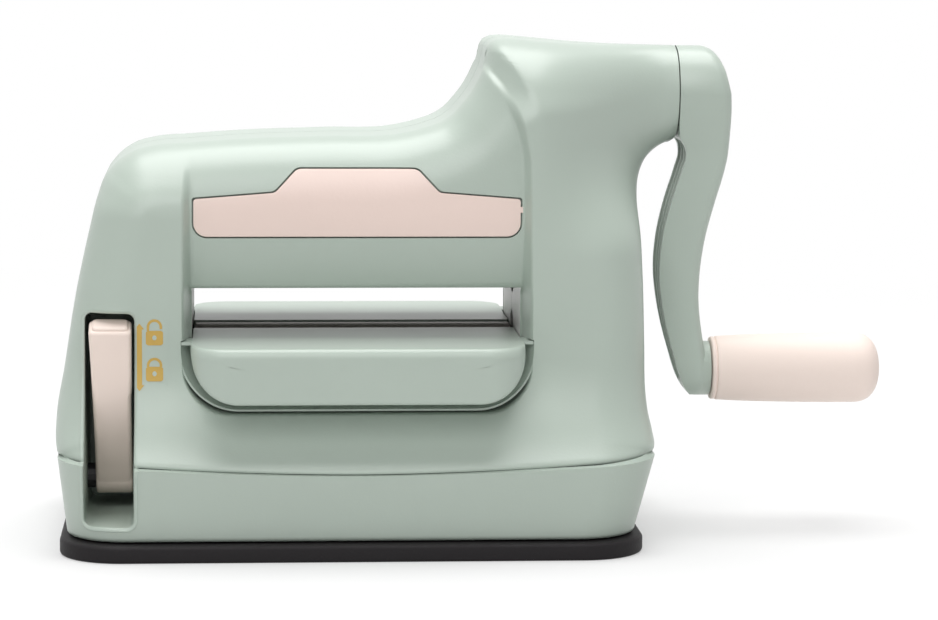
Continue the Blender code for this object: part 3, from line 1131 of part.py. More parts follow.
def make_crank():
    axis = (0, 0, CRANK_AXIS_Z)
    centre = (0, CRANK_AXIS_Z)
    arm = mesh_object("crank_arm", arm_shape(), "green_plastic", axis)
    boss_end = GRIP_START_X - GAP
    grip_centre = (0, GRIP_AXIS_Z)
    add(arm, "crank_arm_boss",
        rod('X', grip_centre, GRIP_BOSS_RADIUS, boss_end - GRIP_BOSS_LENGTH, boss_end, ROUND_SIDES))
    cut(arm, "crank_arm_channel",
        channel_shape(ARM_CHANNEL_START_SHARE, ARM_CHANNEL_END_SHARE, BELLY_DEPTH, -OVERRUN, ARM_CHANNEL_DEPTH))
    add(arm, "crank_arm_rib",
        channel_shape(ARM_RIB_START_SHARE, ARM_RIB_END_SHARE, ARM_RIB / 2, GAP, ARM_CHANNEL_DEPTH + ARM_RIB))
    cut(arm, "crank_arm_pin_hole",
        rod('X', grip_centre, GRIP_PIN_RADIUS + RUNNING_CLEARANCE, HUB_FACE_X - OVERRUN, GRIP_START_X + OVERRUN))
    cut(arm, "crank_arm_pin_seat",
        rod('X', grip_centre, GRIP_PIN_HEAD_RADIUS + RUNNING_CLEARANCE, HUB_FACE_X - HUB_LENGTH,
            HUB_FACE_X + GRIP_PIN_SEAT))
    shaft_end = HUB_FACE_X + HUB_BORE_LENGTH
    cut(arm, "crank_arm_hub_bore",
        rod('X', centre, CRANK_SHAFT_RADIUS + RUNNING_CLEARANCE, HUB_FACE_X - OVERRUN, shaft_end + GAP, ROUND_SIDES))
    hub_face = HUB_FACE_X + ARM_SHARES[5][2] * HUB_LENGTH
    seat = hub_face - CRANK_SCREW_INSET
    cut(arm, "crank_arm_screw_hole",
        rod('X', centre, CRANK_SCREW_RADIUS + RUNNING_CLEARANCE, HUB_FACE_X, hub_face + OVERRUN))
    cut(arm, "crank_arm_screw_sink",
        rod('X', centre, CRANK_SCREW_HEAD_RADIUS + RUNNING_CLEARANCE, seat, hub_face + OVERRUN))
    start = FRAME_X - SHAFT_END_PROUD
    shaft = mesh_object("crank_shaft", rod('X', centre, CRANK_SHAFT_RADIUS, start, shaft_end, ROUND_SIDES),
                        "dark_steel", axis)
    cut(shaft, "crank_shaft_bore",
        rod('X', centre, CRANK_SCREW_RADIUS + RUNNING_CLEARANCE, seat - CRANK_SCREW_LENGTH - OVERRUN,
            shaft_end + OVERRUN))
    screw = screw_shape('X', centre, seat + GAP, CRANK_SCREW_LENGTH, 1, CRANK_SCREW_HEAD_RADIUS,
                        CRANK_SCREW_RADIUS, CRANK_SCREW_HEAD_HEIGHT)
    mesh_object("crank_screw", screw, "zinc_steel", axis)
    make_bush("crank_inner_bush", CRANK_AXIS_Z, 1, FRAME_X, FRAME_THICKNESS, CRANK_SHAFT_RADIUS)
    bore = CRANK_SHAFT_RADIUS + RUNNING_CLEARANCE
    outer_bush = ring('X', centre, bore, bore + BUSH_WALL, STUB_END_X - OUTER_BUSH_LENGTH, STUB_END_X - GAP,
                      SMALL_SIDES + 4)
    mesh_object("crank_outer_bush", outer_bush, "bronze")

    grip_axis = (GRIP_START_X, 0, GRIP_AXIS_Z)
    profile = [(GRIP_START_X + a * GRIP_LENGTH, b * GRIP_RADIUS) for a, b in GRIP_SHARES]
    grip = mesh_object("grip", turned('X', grip_centre, profile), "grip_plastic", grip_axis)
    cut(grip, "grip_bore",
        rod('X', grip_centre, GRIP_PIN_RADIUS + RUNNING_CLEARANCE, GRIP_START_X - OVERRUN,
            GRIP_START_X + GRIP_BORE_LENGTH))
    head = HUB_FACE_X + GRIP_PIN_SEAT - GAP
    profile = [(head - GRIP_PIN_HEAD_LENGTH, GRIP_PIN_HEAD_RADIUS), (head, GRIP_PIN_HEAD_RADIUS),
               (head, GRIP_PIN_RADIUS), (GRIP_START_X + GRIP_BORE_LENGTH - GAP, GRIP_PIN_RADIUS)]
    mesh_object("grip_pin", turned('X', grip_centre, profile, SMALL_SIDES), "zinc_steel", grip_axis)


def lever_shape():
    # The lever in the YZ plane: a round hub and a bowed, round-tipped paddle.
    half = LEVER_THICKNESS / 2
    points = []
    lean = LEVER_LEAN
    along = (-math.sin(lean), math.cos(lean))
    out = (-math.cos(lean), -math.sin(lean))

    def place(distance, offset):
        return (LEVER_PIVOT_Y + along[0] * distance + out[0] * offset,
                LEVER_PIVOT_Z + along[1] * distance + out[1] * offset)

    def bow(share):
        return half * 1.1 * math.sin(math.pi * share)

    for share in (0.98, 0.85, 0.7, 0.5, 0.3, 0.16):
        points.append(place(share * LEVER_LENGTH, half + bow(share)))
    hub = LEVER_HUB_RADIUS
    for i in range(9):
        turn = math.radians(30) + math.radians(300) * i / 8 - lean
        points.append((LEVER_PIVOT_Y - hub * math.sin(turn), LEVER_PIVOT_Z + hub * math.cos(turn)))
    for share in LEVER_BACK_SHARES:
        points.append(place(share * LEVER_LENGTH, bow(share) - half))
    points.append(place(LEVER_LENGTH * LEVER_TIP_SHARE, bow(LEVER_BACK_SHARES[-1]) - half / 2))
    points.append(place(LEVER_LENGTH * LEVER_TIP_SHARE, half / 2))
    return prism(points, 'X', SLOT_X - LEVER_HALF_WIDTH, SLOT_X + LEVER_HALF_WIDTH)


def cam_outline():
    # Under a flat yoke the cam lifts evenly: p = h n - k t, with h growing by k for each
    # radian that the direction n falls back from the top, and t square to n.
    growth = CAM_LIFT / LEVER_SWING
    points = []
    for i in range(11):
        swing = LEVER_SWING * i / 10
        turn = math.pi / 2 - swing
        height = CAM_RADIUS + growth * swing
        points.append((LEVER_PIVOT_Y + height * math.cos(turn) + growth * math.sin(turn),
                       LEVER_PIVOT_Z + height * math.sin(turn) - growth * math.cos(turn)))
    for i in range(13):
        turn = math.radians(-50) - math.radians(200) * i / 12
        points.append((LEVER_PIVOT_Y + CAM_HEEL_RADIUS * math.cos(turn),
                       LEVER_PIVOT_Z + CAM_HEEL_RADIUS * math.sin(turn)))
    return points


def make_lever():
    pivot = (SLOT_X, LEVER_PIVOT_Y, LEVER_PIVOT_Z)
    centre = (LEVER_PIVOT_Y, LEVER_PIVOT_Z)
    bore = LEVER_SHAFT_RADIUS + RUNNING_CLEARANCE
    lever = mesh_object("suction_lever", lever_shape(), "cream_plastic", pivot)
    cut(lever, "suction_lever_bore", rod('X', centre, bore, SLOT_LEFT_X, SLOT_RIGHT_X))
    start = SLOT_LEFT_X - WELL_WALL
    end = BRACKET_X + BRACKET_THICKNESS + SHAFT_END_PROUD
    mesh_object("lever_shaft", rod('X', centre, LEVER_SHAFT_RADIUS, start, end), "dark_steel", pivot)
    cam = mesh_object("lift_cam", prism(cam_outline(), 'X', -CAM_WIDTH / 2, CAM_WIDTH / 2), "nylon", pivot)
    cut(cam, "lift_cam_bore", rod('X', centre, bore, -CAM_WIDTH, CAM_WIDTH))
    foot = BRACKET_HALF_DEPTH
    low, high = FRAME_BOTTOM, LEVER_PIVOT_Z + foot
    bracket = mesh_object("lift_bracket", box((BRACKET_X, LEVER_PIVOT_Y - foot, low),
                                              (BRACKET_X + BRACKET_THICKNESS, LEVER_PIVOT_Y + foot, high)),
                          "zinc_steel")
    cut(bracket, "lift_bracket_hole", rod('X', centre, bore, BRACKET_X - OVERRUN,
                                          BRACKET_X + BRACKET_THICKNESS + OVERRUN))
    disc_low = BASE_PLATE_BOTTOM
    disc_high = disc_low + STEM_DISC_THICKNESS
    yoke_low = LEVER_PIVOT_Z + CAM_RADIUS + CAM_CLEARANCE
    profile = [(disc_low, STEM_DISC_RADIUS), (disc_high, STEM_DISC_RADIUS), (disc_high, STEM_RADIUS),
               (yoke_low + YOKE_THICKNESS, STEM_RADIUS)]
    stem = mesh_object("suction_stem", turned('Z', (0, 0), profile, ROUND_SIDES - 8), "nylon")
    add(stem, "suction_stem_yoke",
        box((-YOKE_HALF_WIDTH, LEVER_PIVOT_Y - BRACKET_HALF_DEPTH, yoke_low),
            (YOKE_HALF_WIDTH, 0, yoke_low + YOKE_THICKNESS)))


def make_screws():
    for label, x, z in housing_screw_places():
        seat = HOUSING_SCREW_SEAT_Y + GAP
        shape = screw_shape('Y', (x, z), seat, seat + HOUSING_SCREW_REACH, 1)
        mesh_object(f"housing_screw_{label}", shape, "zinc_steel")


def main():
    clear_scene()
    make_material("green_plastic", GREEN, 0.38, 0.0)
    make_material("cream_plastic", CREAM, 0.35, 0.0)
    make_material("grip_plastic", GRIP_CREAM, 0.35, 0.0)
    make_material("black_rubber", RUBBER, 0.75, 0.0)
    make_material("zinc_steel", ZINC, 0.35, 1.0)
    make_material("dark_steel", DARK_STEEL, 0.35, 1.0)
    make_material("grey_guide", GUIDE_GREY, 0.3, 0.6)
    make_material("bronze", BRONZE, 0.4, 1.0)
    make_material("nylon", NYLON, 0.45, 0.0)
    housing_half("front_housing", True)
    housing_half("rear_housing", False)
    make_lower_housing()
    make_base()
    make_inlay("front_inlay", True)
    make_inlay("rear_inlay", False)
    tray_shape("front_tray", True)
    tray_shape("rear_tray", False)
    make_guides()
    make_frames()
    make_rollers()
    make_crank()
    make_lever()
    make_screws()


main()
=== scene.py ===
import bpy
import bmesh
import math
import numpy as np
from mathutils import Matrix, Vector


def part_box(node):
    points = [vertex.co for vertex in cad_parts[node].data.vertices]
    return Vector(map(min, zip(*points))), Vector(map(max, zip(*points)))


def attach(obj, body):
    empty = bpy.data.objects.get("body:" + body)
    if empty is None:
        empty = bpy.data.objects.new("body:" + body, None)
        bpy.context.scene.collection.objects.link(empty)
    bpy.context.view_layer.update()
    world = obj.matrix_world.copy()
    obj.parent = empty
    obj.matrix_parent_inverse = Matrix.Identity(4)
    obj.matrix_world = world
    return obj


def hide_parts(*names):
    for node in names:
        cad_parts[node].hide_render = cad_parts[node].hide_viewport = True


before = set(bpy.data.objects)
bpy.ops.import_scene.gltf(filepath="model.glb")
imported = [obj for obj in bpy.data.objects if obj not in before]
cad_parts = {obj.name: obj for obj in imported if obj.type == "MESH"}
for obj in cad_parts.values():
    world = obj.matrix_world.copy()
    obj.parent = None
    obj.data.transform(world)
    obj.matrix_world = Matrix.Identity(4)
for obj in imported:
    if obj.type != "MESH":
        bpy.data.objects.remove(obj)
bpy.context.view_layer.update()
print("frame loaded")

mm = 0.001  # every size below is in millimetres, in the frame of the CAD
curveSamples = 14  # points in each span of a smooth curve
poleRadius = 0.02  # stands for a point on an axis, so that a ring there stays a ring

# Small helpers for curves and grids


def eased(t):
    t = np.clip(t, 0, 1)
    return t * t * (3 - 2 * t)


def quarter(count):
    return np.linspace(0, math.pi / 2, count)


def polarShares(count):
    # shares that crowd towards zero as the height of a quarter circle does
    return 1 - np.cos(quarter(count))


def smoothCurve(points, samples=curveSamples):
    # a curve through the points: cubic pieces whose slopes lean to the shorter span
    points = np.asarray(points, float)
    spans = np.diff(points, axis=0)
    lengths = np.linalg.norm(spans, axis=1)[:, None]
    slopes = spans / lengths
    middle = (slopes[:-1] * lengths[1:] + slopes[1:] * lengths[:-1]) / (lengths[1:] + lengths[:-1])
    tangents = np.vstack([slopes[:1], middle, slopes[-1:]])
    t = np.linspace(0, 1, samples, endpoint=False)[None, :, None]
    a, b = points[:-1, None], points[1:, None]
    start, end, reach = tangents[:-1, None], tangents[1:, None], lengths[:, None]
    bend = reach * (start * t * (1 - t) ** 2 - end * t * t * (1 - t))
    return np.vstack([(a + (b - a) * t * t * (3 - 2 * t) + bend).reshape(-1, points.shape[1]), points[-1:]])


def lengthsAlong(curve):
    return np.concatenate([[0], np.cumsum(np.linalg.norm(np.diff(curve, axis=0), axis=1))])


def pointsAt(curve, distances):
    along = lengthsAlong(curve)
    return np.stack([np.interp(distances, along, curve[:, k]) for k in range(curve.shape[1])], -1)


def nearestAlong(curve, point, steps=6000):
    # how far along a curve its nearest point to this one lies
    fine = np.linspace(0, lengthsAlong(curve)[-1], steps)
    return fine[np.argmin(np.linalg.norm(pointsAt(curve, fine) - np.asarray(point, float), axis=1))]


def distanceTo(x, z, curves, chunk=4000):
    # distance in the front plane from each point to the nearest of some curves
    spots = np.stack([np.ravel(x), np.ravel(z)], 1)
    best = np.full(len(spots), np.inf)
    for curve in curves:
        start, span = curve[:-1], np.diff(curve, axis=0)
        square = (span ** 2).sum(1)
        for part in np.array_split(np.arange(len(spots)), max(1, len(spots) // chunk)):
            t = ((spots[part, None] - start) * span).sum(2) / square
            near = start + np.clip(t, 0, 1)[..., None] * span
            best[part] = np.minimum(best[part], np.linalg.norm(spots[part, None] - near, axis=2).min(1))
    return best.reshape(np.shape(x))


def arcFall(depth, radius, edge):
    # depth falls along a quarter circle towards an edge: d - r + sqrt(r^2 - (r - e)^2)
    return depth - radius + np.sqrt(np.maximum(radius ** 2 - (radius - np.minimum(edge, radius)) ** 2, 0))


def roundedLoop(halfX, halfY, corner, steps=10):
    # a rectangle with round corners, anticlockwise from the middle of its right side
    loop = []
    for turn, (sx, sy) in enumerate(((1, 1), (-1, 1), (-1, -1), (1, -1))):
        angle = quarter(steps + 1) + turn * math.pi / 2
        loop.append(np.stack([sx * (halfX - corner) + corner * np.cos(angle),
                              sy * (halfY - corner) + corner * np.sin(angle)], 1))
    return np.vstack(loop)


def circle(radius, centre, count):
    angle = np.linspace(0, 2 * math.pi, count, endpoint=False)
    return np.stack([centre[0] + radius * np.cos(angle), centre[1] + radius * np.sin(angle)], 1)


def spreadLoop(loop, count=420):
    # spreads the points of a closed loop evenly along it
    closed = np.vstack([loop, loop[:1]])
    return pointsAt(closed, np.linspace(0, lengthsAlong(closed)[-1], count, endpoint=False))


def filleted(points, radii, steps=8):
    # a closed polygon whose corners become arcs of the given radii
    points = [np.asarray(p, float) for p in points]
    out = []
    for k, corner in enumerate(points):
        radius = radii[k] if np.ndim(radii) else radii
        before, after = points[k - 1] - corner, points[(k + 1) % len(points)] - corner
        a, b = before / np.linalg.norm(before), after / np.linalg.norm(after)
        half = math.acos(np.clip(a @ b, -1, 1)) / 2
        if radius < 1e-6 or half > math.pi / 2 - 1e-3:
            out.append(corner[None])
            continue
        centre = corner + (a + b) / np.linalg.norm(a + b) * radius / math.sin(half)
        start, finish = (corner + way * radius / math.tan(half) - centre for way in (a, b))
        turn = math.atan2(start[0] * finish[1] - start[1] * finish[0], start @ finish)
        angle = math.atan2(start[1], start[0]) + turn * np.linspace(0, 1, steps + 1)
        out.append(centre + radius * np.stack([np.cos(angle), np.sin(angle)], 1))
    return np.vstack(out)


def uOutline(half, bottom, top, corner):
    ends = [(-half, top), (-half, bottom), (half, bottom), (half, top)]
    return filleted(ends, [0, corner, corner, 0], 20)


def gridFaces(rows, columns, offset=0, loop=False, keep=None):
    i, j = np.meshgrid(np.arange(rows - 1), np.arange(columns if loop else columns - 1), indexing="ij")
    k = (j + 1) % columns
    corners = [i * columns + j, i * columns + k, (i + 1) * columns + k, (i + 1) * columns + j]
    faces = np.stack(corners, -1) + offset
    return faces.reshape(-1, 4) if keep is None else faces[keep]


# Small helpers for pieces


def placed(name, data):
    made = bpy.data.objects.new(name, data)
    bpy.context.scene.collection.objects.link(made)
    return made


def shaded(mesh, sharp):
    mesh.shade_smooth()
    mesh.set_sharp_from_angle(angle=math.radians(sharp))


def buildPiece(name, points, faces, weld=0.004, sharp=34):
    # points in millimetres become an object in metres, welded, with its faces turned out
    mesh = bpy.data.meshes.new(name)
    mesh.from_pydata((np.asarray(points, float) * mm).tolist(), [], [tuple(f) for f in faces])
    work = bmesh.new()
    work.from_mesh(mesh)
    bmesh.ops.remove_doubles(work, verts=work.verts, dist=weld * mm)
    bmesh.ops.dissolve_degenerate(work, edges=work.edges, dist=1e-7)
    bmesh.ops.recalc_face_normals(work, faces=work.faces)
    if all(edge.is_manifold for edge in work.edges) and work.calc_volume(signed=True) < 0:
        bmesh.ops.reverse_faces(work, faces=work.faces)
    work.to_mesh(mesh)
    work.free()
    shaded(mesh, sharp)
    return placed(name, mesh)


def outwards(piece, towards=None):
    # turns an open skin's faces round where they look away from a direction, or inwards where none is given
    work = bmesh.new()
    work.from_mesh(piece.data)
    looks = (face.normal.dot(Vector(towards) if towards else face.calc_center_median()) * face.calc_area()
             for face in work.faces)
    if sum(looks) < 0:
        bmesh.ops.reverse_faces(work, faces=work.faces)
    work.to_mesh(piece.data)
    work.free()


def ringPiece(name, rings, capped=(True, True), **options):
    # closed rings skinned over one after another, with flat ends where they are capped
    points = np.stack(rings)
    rows, count = points.shape[:2]
    faces = gridFaces(rows, count, loop=True).tolist()
    ends = (range(count)[::-1], range((rows - 1) * count, rows * count))
    faces += [list(end) for end, wanted in zip(ends, capped) if wanted]
    return buildPiece(name, points.reshape(-1, 3), faces, **options)


def turnedPiece(name, profile, centre, sides=96):
    # a profile of (along, radius) turned round an axis along x: p = (along, r cos a, r sin a)
    profile = np.asarray(profile, float)
    angle = np.linspace(0, 2 * math.pi, sides, endpoint=False)
    along = np.repeat(profile[:, :1], sides, 1)
    a, b = profile[:, 1:] * np.cos(angle), profile[:, 1:] * np.sin(angle)
    return ringPiece(name, np.stack([along, a + centre[0], b + centre[1]], -1))


def prismPiece(name, outline, low, high, axis="Y"):
    # a closed outline drawn straight from low to high along an axis
    a, b = np.asarray(outline, float).T
    rings = []
    for value in (low, high):
        flat = np.full(len(a), value, float)
        rings.append(np.stack({"X": (flat, a, b), "Y": (a, flat, b), "Z": (a, b, flat)}[axis], 1))
    return ringPiece(name, rings)


def sheetBlock(name, front, depth):
    # a closed block behind a front sheet: both sheets and the four sides between them
    rows, columns = front.shape[:2]
    size = rows * columns
    faces = gridFaces(rows, columns).tolist() + gridFaces(rows, columns, size)[:, ::-1].tolist()
    ids = np.arange(size).reshape(rows, columns)
    edge = np.concatenate([ids[0], ids[1:, -1], ids[-1, -2::-1], ids[-2:0:-1, 0]])
    after = np.roll(edge, -1)
    faces += np.stack([edge, edge + size, after + size, after], 1).tolist()
    sheets = [sheet.reshape(-1, 3) for sheet in (front, front + (0, depth, 0))]
    return buildPiece(name, np.concatenate(sheets), faces)


def mirroredPiece(piece, name):
    # the same form mirrored through the middle plane, faces kept outwards
    mesh = piece.data.copy()
    mesh.name = name
    mesh.transform(Matrix.Diagonal((1, -1, 1, 1)))
    mesh.flip_normals()
    return placed(name, mesh)


def boolean(piece, other, operation="DIFFERENCE"):
    step = piece.modifiers.new(operation.lower(), "BOOLEAN")
    step.operation, step.object, step.solver = operation, other, "EXACT"


def thicken(piece, wall, shareAt=None):
    # gives a skin its wall, inwards; shareAt(x, z) says how much of it a point gets
    step = piece.modifiers.new("wall", "SOLIDIFY")
    step.thickness, step.offset = wall * mm, -1
    if shareAt:
        spots = np.array([vertex.co for vertex in piece.data.vertices]) / mm
        group = piece.vertex_groups.new(name="wallShare")
        for index, share in enumerate(shareAt(spots[:, 0], spots[:, 2]).tolist()):
            group.add([index], share, "REPLACE")
        step.vertex_group, step.thickness_vertex_group = group.name, 0.0


def softened(piece, width, angle=50):
    step = piece.modifiers.new("edge", "BEVEL")
    step.width, step.segments = width * mm, 2
    step.limit_method, step.angle_limit = "ANGLE", math.radians(angle)


def applied(piece, sharp=40, tools=()):
    # bakes the modifiers into the mesh and throws the cutters away
    depsgraph = bpy.context.evaluated_depsgraph_get()
    made = bpy.data.meshes.new_from_object(piece.evaluated_get(depsgraph))
    piece.modifiers.clear()
    old, piece.data = piece.data, made
    bpy.data.meshes.remove(old)
    shaded(made, sharp)
    for other in tools:
        bpy.data.objects.remove(other)


def finishPiece(piece, material, body="housing", stands=()):
    piece.data.materials.clear()
    piece.data.materials.append(material)
    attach(piece, body)
    if stands:
        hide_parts(*stands)


# Camera, at the photograph's angle

camera = {"place": (-29.4, -833.0, 151.1), "yaw": 3.976, "pitch": 6.71, "roll": 0.324, "lens": 131.7,
          "sensor": 36, "clip": (50, 20000)}


def makeCamera():
    data = bpy.data.cameras.new("photoCamera")
    data.lens, data.sensor_width, data.sensor_fit = camera["lens"], camera["sensor"], "HORIZONTAL"
    data.clip_start, data.clip_end = (distance * mm for distance in camera["clip"])
    made = placed("photoCamera", data)
    yaw, pitch, roll = (math.radians(camera[key]) for key in ("yaw", "pitch", "roll"))
    place = Matrix.Translation(Vector(camera["place"]) * mm)
    for angle, axis in ((-yaw, "Z"), (math.pi / 2 - pitch, "X"), (roll, "Z")):
        place = place @ Matrix.Rotation(angle, 4, axis)
    made.matrix_world = place
    bpy.context.scene.camera = made


makeCamera()

# Materials

slotNames = {}


def addNode(tree, kind, **settings):
    node = tree.nodes.new("ShaderNode" + kind)
    for key, value in settings.items():
        setattr(node, key, value)
    return node


def mathNode(tree, operation, a, b, **settings):
    # a math node whose inputs are another node's output or a plain number
    node = addNode(tree, "Math", operation=operation, **settings)
    for socket, value in zip(node.inputs, (a, b)):
        if isinstance(value, bpy.types.NodeSocket):
            tree.links.new(value, socket)
        else:
            socket.default_value = value
    return node.outputs[0]


def newMaterial(name, colour, roughness, metallic=0.0, **sockets):
    # sRGB colour from 0 to 255; the other values go straight onto the shader
    made = bpy.data.materials.new(name)
    made.use_nodes = True
    shader = made.node_tree.nodes["Principled BSDF"]
    linear = [((c / 255 + 0.055) / 1.055) ** 2.4 if c > 10 else c / 255 / 12.92 for c in colour]
    shader.inputs["Base Color"].default_value = (*linear, 1)
    shader.inputs["Roughness"].default_value = roughness
    shader.inputs["Metallic"].default_value = metallic
    for key, value in sockets.items():
        shader.inputs[key.replace("_", " ")].default_value = value
    made.diffuse_color = (*linear, 1)
    return made, shader, linear


def grainGroup(bumpHeight=0.0002):
    # shared surface grain: two noises give a tone, a roughness shift and a bumped normal
    tree = bpy.data.node_groups.new("surfaceGrain", "ShaderNodeTree")
    inputs = {"Scale": "Float", "Depth": "Float", "Blotch Scale": "Float", "Tone": "Float", "Rough": "Float",
              "Rough Shift": "Float", "Colour": "Color", "Stretch": "Vector"}
    outputs = {"Colour": "Color", "Roughness": "Float", "Normal": "Vector"}
    for way, sockets in (("INPUT", inputs), ("OUTPUT", outputs)):
        for label, kind in sockets.items():
            tree.interface.new_socket(label, in_out=way, socket_type="NodeSocket" + kind)
    given, result = (tree.nodes.new(kind) for kind in ("NodeGroupInput", "NodeGroupOutput"))
    stretch = addNode(tree, "VectorMath", operation="MULTIPLY")
    tree.links.new(addNode(tree, "TexCoord").outputs["Object"], stretch.inputs[0])
    tree.links.new(given.outputs["Stretch"], stretch.inputs[1])

    def noise(scale, detail):
        made = addNode(tree, "TexNoise")
        made.inputs["Detail"].default_value = detail
        tree.links.new(stretch.outputs[0], made.inputs["Vector"])
        tree.links.new(given.outputs[scale], made.inputs["Scale"])
        return made.outputs["Fac"]

    fine, blotch = noise("Scale", 3), noise("Blotch Scale", 4)
    bump = addNode(tree, "Bump")
    bump.inputs["Distance"].default_value = bumpHeight
    tree.links.new(given.outputs["Depth"], bump.inputs["Strength"])
    tree.links.new(fine, bump.inputs["Height"])
    # tone: colour x (1 + (blotch - half) x amount); roughness: given + (blotch - half) x amount
    centred = mathNode(tree, "SUBTRACT", blotch, 0.5)
    tone = mathNode(tree, "ADD", mathNode(tree, "MULTIPLY", centred, given.outputs["Tone"]), 1.0)
    tint = addNode(tree, "VectorMath", operation="SCALE")
    tree.links.new(given.outputs["Colour"], tint.inputs[0])
    tree.links.new(tone, tint.inputs["Scale"])
    shift = mathNode(tree, "MULTIPLY", centred, given.outputs["Rough Shift"])
    rough = mathNode(tree, "ADD", shift, given.outputs["Rough"], use_clamp=True)
    for output, label in ((tint.outputs[0], "Colour"), (rough, "Roughness"),
                          (bump.outputs["Normal"], "Normal")):
        tree.links.new(output, result.inputs[label])
    return tree


grain = grainGroup()


def grained(name, slotName, colour, roughness, metallic=0.0, scale=900, depth=0.1, blotchScale=40, tone=0.05,
            shift=0.06, stretch=(1, 1, 1), **sockets):
    made, shader, linear = newMaterial(name, colour, roughness, metallic, **sockets)
    tree = made.node_tree
    effect = addNode(tree, "Group", node_tree=grain)
    values = {"Scale": scale, "Depth": depth, "Blotch Scale": blotchScale, "Tone": tone, "Rough": roughness,
              "Rough Shift": shift, "Stretch": stretch, "Colour": (*linear, 1)}
    for label, value in values.items():
        effect.inputs[label].default_value = value
    for output, socket in (("Colour", "Base Color"), ("Roughness", "Roughness"), ("Normal", "Normal")):
        tree.links.new(effect.outputs[output], shader.inputs[socket])
    if slotName:
        slotNames[name] = slotName
    return made


greenPlastic = grained("sageGreenPlastic", "green_plastic", (171, 183, 173), 0.34, scale=1400)
creamPlastic = grained("blushPanelPlastic", "cream_plastic", (229, 208, 199), 0.40, scale=1300, depth=0.12)
leverPlastic = grained("blushLeverPlastic", "cream_plastic", (231, 214, 204), 0.36, scale=1200)
gripPlastic = grained("blushGripPlastic", "grip_plastic", (236, 220, 211), 0.5, scale=1100, depth=0.08,
                      tone=0.04, Specular_IOR_Level=0.3)
blackRubber = grained("blackFootRubber", "black_rubber", (24, 21, 23), 0.6, scale=1600, depth=0.35,
                      tone=0.35, blotchScale=120, shift=0.15, Specular_IOR_Level=0.25)
goldPaint = grained("goldPadPrint", None, (190, 156, 76), 0.42, scale=2200, depth=0.06, tone=0.12,
                    blotchScale=300)
rollerSteel = grained("brushedRollerSteel", "dark_steel", (176, 170, 166), 0.45, 0.6, scale=700, depth=0.25,
                      blotchScale=160, tone=0.3, shift=0.2, stretch=(0.04, 1, 1))
shaftSteel = grained("turnedShaftSteel", "dark_steel", (120, 120, 122), 0.3, 1.0, depth=0.2, blotchScale=120,
                     tone=0.15, stretch=(4, 0.3, 0.3))
blackSteel = grained("blackenedSteel", None, (48, 47, 48), 0.5, 0.5, depth=0.2, blotchScale=120, tone=0.2)
zincSteel = grained("zincPlatedSteel", "zinc_steel", (188, 188, 190), 0.34, 1.0, scale=600, depth=0.15,
                    blotchScale=90, tone=0.15, shift=0.2)
guideMetal = grained("castGuideGrey", "grey_guide", (234, 233, 230), 0.36, 0.1, scale=500, depth=0.4,
                     blotchScale=260, tone=0.2, shift=0.2)
bushBronze = grained("sinteredBronze", "bronze", (176, 132, 86), 0.42, 1.0, scale=1500, depth=0.3, tone=0.2)
gearNylon = grained("whiteGearNylon", "nylon", (222, 221, 212), 0.45, scale=1000, tone=0.06)
print("materials made")

# Upper housing: the front skin and its mirror at the rear

housing = {
    "left": [(-69.75, 22.9), (-70.4, 23.3), (-70.6, 24.1), (-70.75, 31.7), (-68.95, 42.8), (-66.3, 59.4),
             (-62.9, 75.2), (-60.9, 83.2), (-59.4, 87.2), (-57.0, 90.2)],
    "hood": [(-57.0, 90.2), (-52.7, 93.1), (-47.9, 94.4), (-39.6, 95.1), (-26.8, 96.0), (-7.4, 96.7),
             (10.8, 97.4)],
    "sweep": [(10.8, 97.4), (16.6, 98.8), (20.6, 100.3), (23.0, 101.9), (25.3, 104.4), (27.4, 107.1),
              (28.9, 109.7), (30.4, 113.1), (31.2, 116.2)],
    "towerTop": [(31.2, 116.2), (31.5, 117.8), (32.6, 119.1), (34.4, 119.7), (37.0, 119.75), (42.0, 119.35),
                 (52.1, 118.5), (78.3, 117.75)],
    "right": [(69.75, 22.9), (70.3, 23.3), (70.6, 24.1), (70.4, 27.2), (69.6, 31.6), (69.2, 35.5),
              (68.9, 46.7), (68.5, 61.1), (68.0, 73.0), (68.0, 82.2), (68.9, 86.4), (71.1, 90.5),
              (74.0, 93.0), (78.3, 95.05)],
    "valley": [(38.9, 78.0), (38.85, 86.5), (38.6, 92.4), (37.9, 96.7), (36.7, 100.8), (35.0, 104.8),
               (33.1, 108.0), (31.2, 110.6), (29.45, 112.4)],
    "wall": 1.8, "gap": 0.15, "halfWidth": 70.6,
    "seam": 20.2, "seamRise": 2.7, "seamPower": 1.8, "seamDrop": 0.9, "seamReach": 1.3,
    "cheekDepth": 35.8, "cheekTaper": 2.8, "bellyDepth": 50.0, "flareTop": 46.0, "flarePower": 2.1,
    "towerTopZ": 119.75, "lean": 2.75, "leanFrom": 78.0, "leanRise": 16.0, "leanSide": 20.0,
    "leanReach": 15.0, "bellyCorner": 15.0, "sideRounding": 12.5, "topRounding": 15.0, "towerRounding": 6.0,
    "towerFrom": 98.0, "roundReach": 10.0, "stubAxis": 106.4, "stubRadius": 11.35, "stubStart": 41.0,
    "stubLength": 35.0, "stubFall": 26.0, "hoodDepth": 31.2, "hoodEdgeDepth": 27.6, "hoodEdge": 61.4,
    "bulge": 80.0, "lipEdge": 0.5, "throatDepth": 25.6, "throatBlend": 1.2, "stepX": 38.9, "stepTop": 95.1,
    "stepWidth": 2.3, "stepBand": 1.25, "stepShare": 0.3, "roundBand": 14.0, "roundShare": 0.5,
    "innerArc": 8.9, "innerBottom": 35.1, "sharp": 60,
}
leftSide, towerTop, rightSide = (smoothCurve(housing[key]) for key in ("left", "towerTop", "right"))
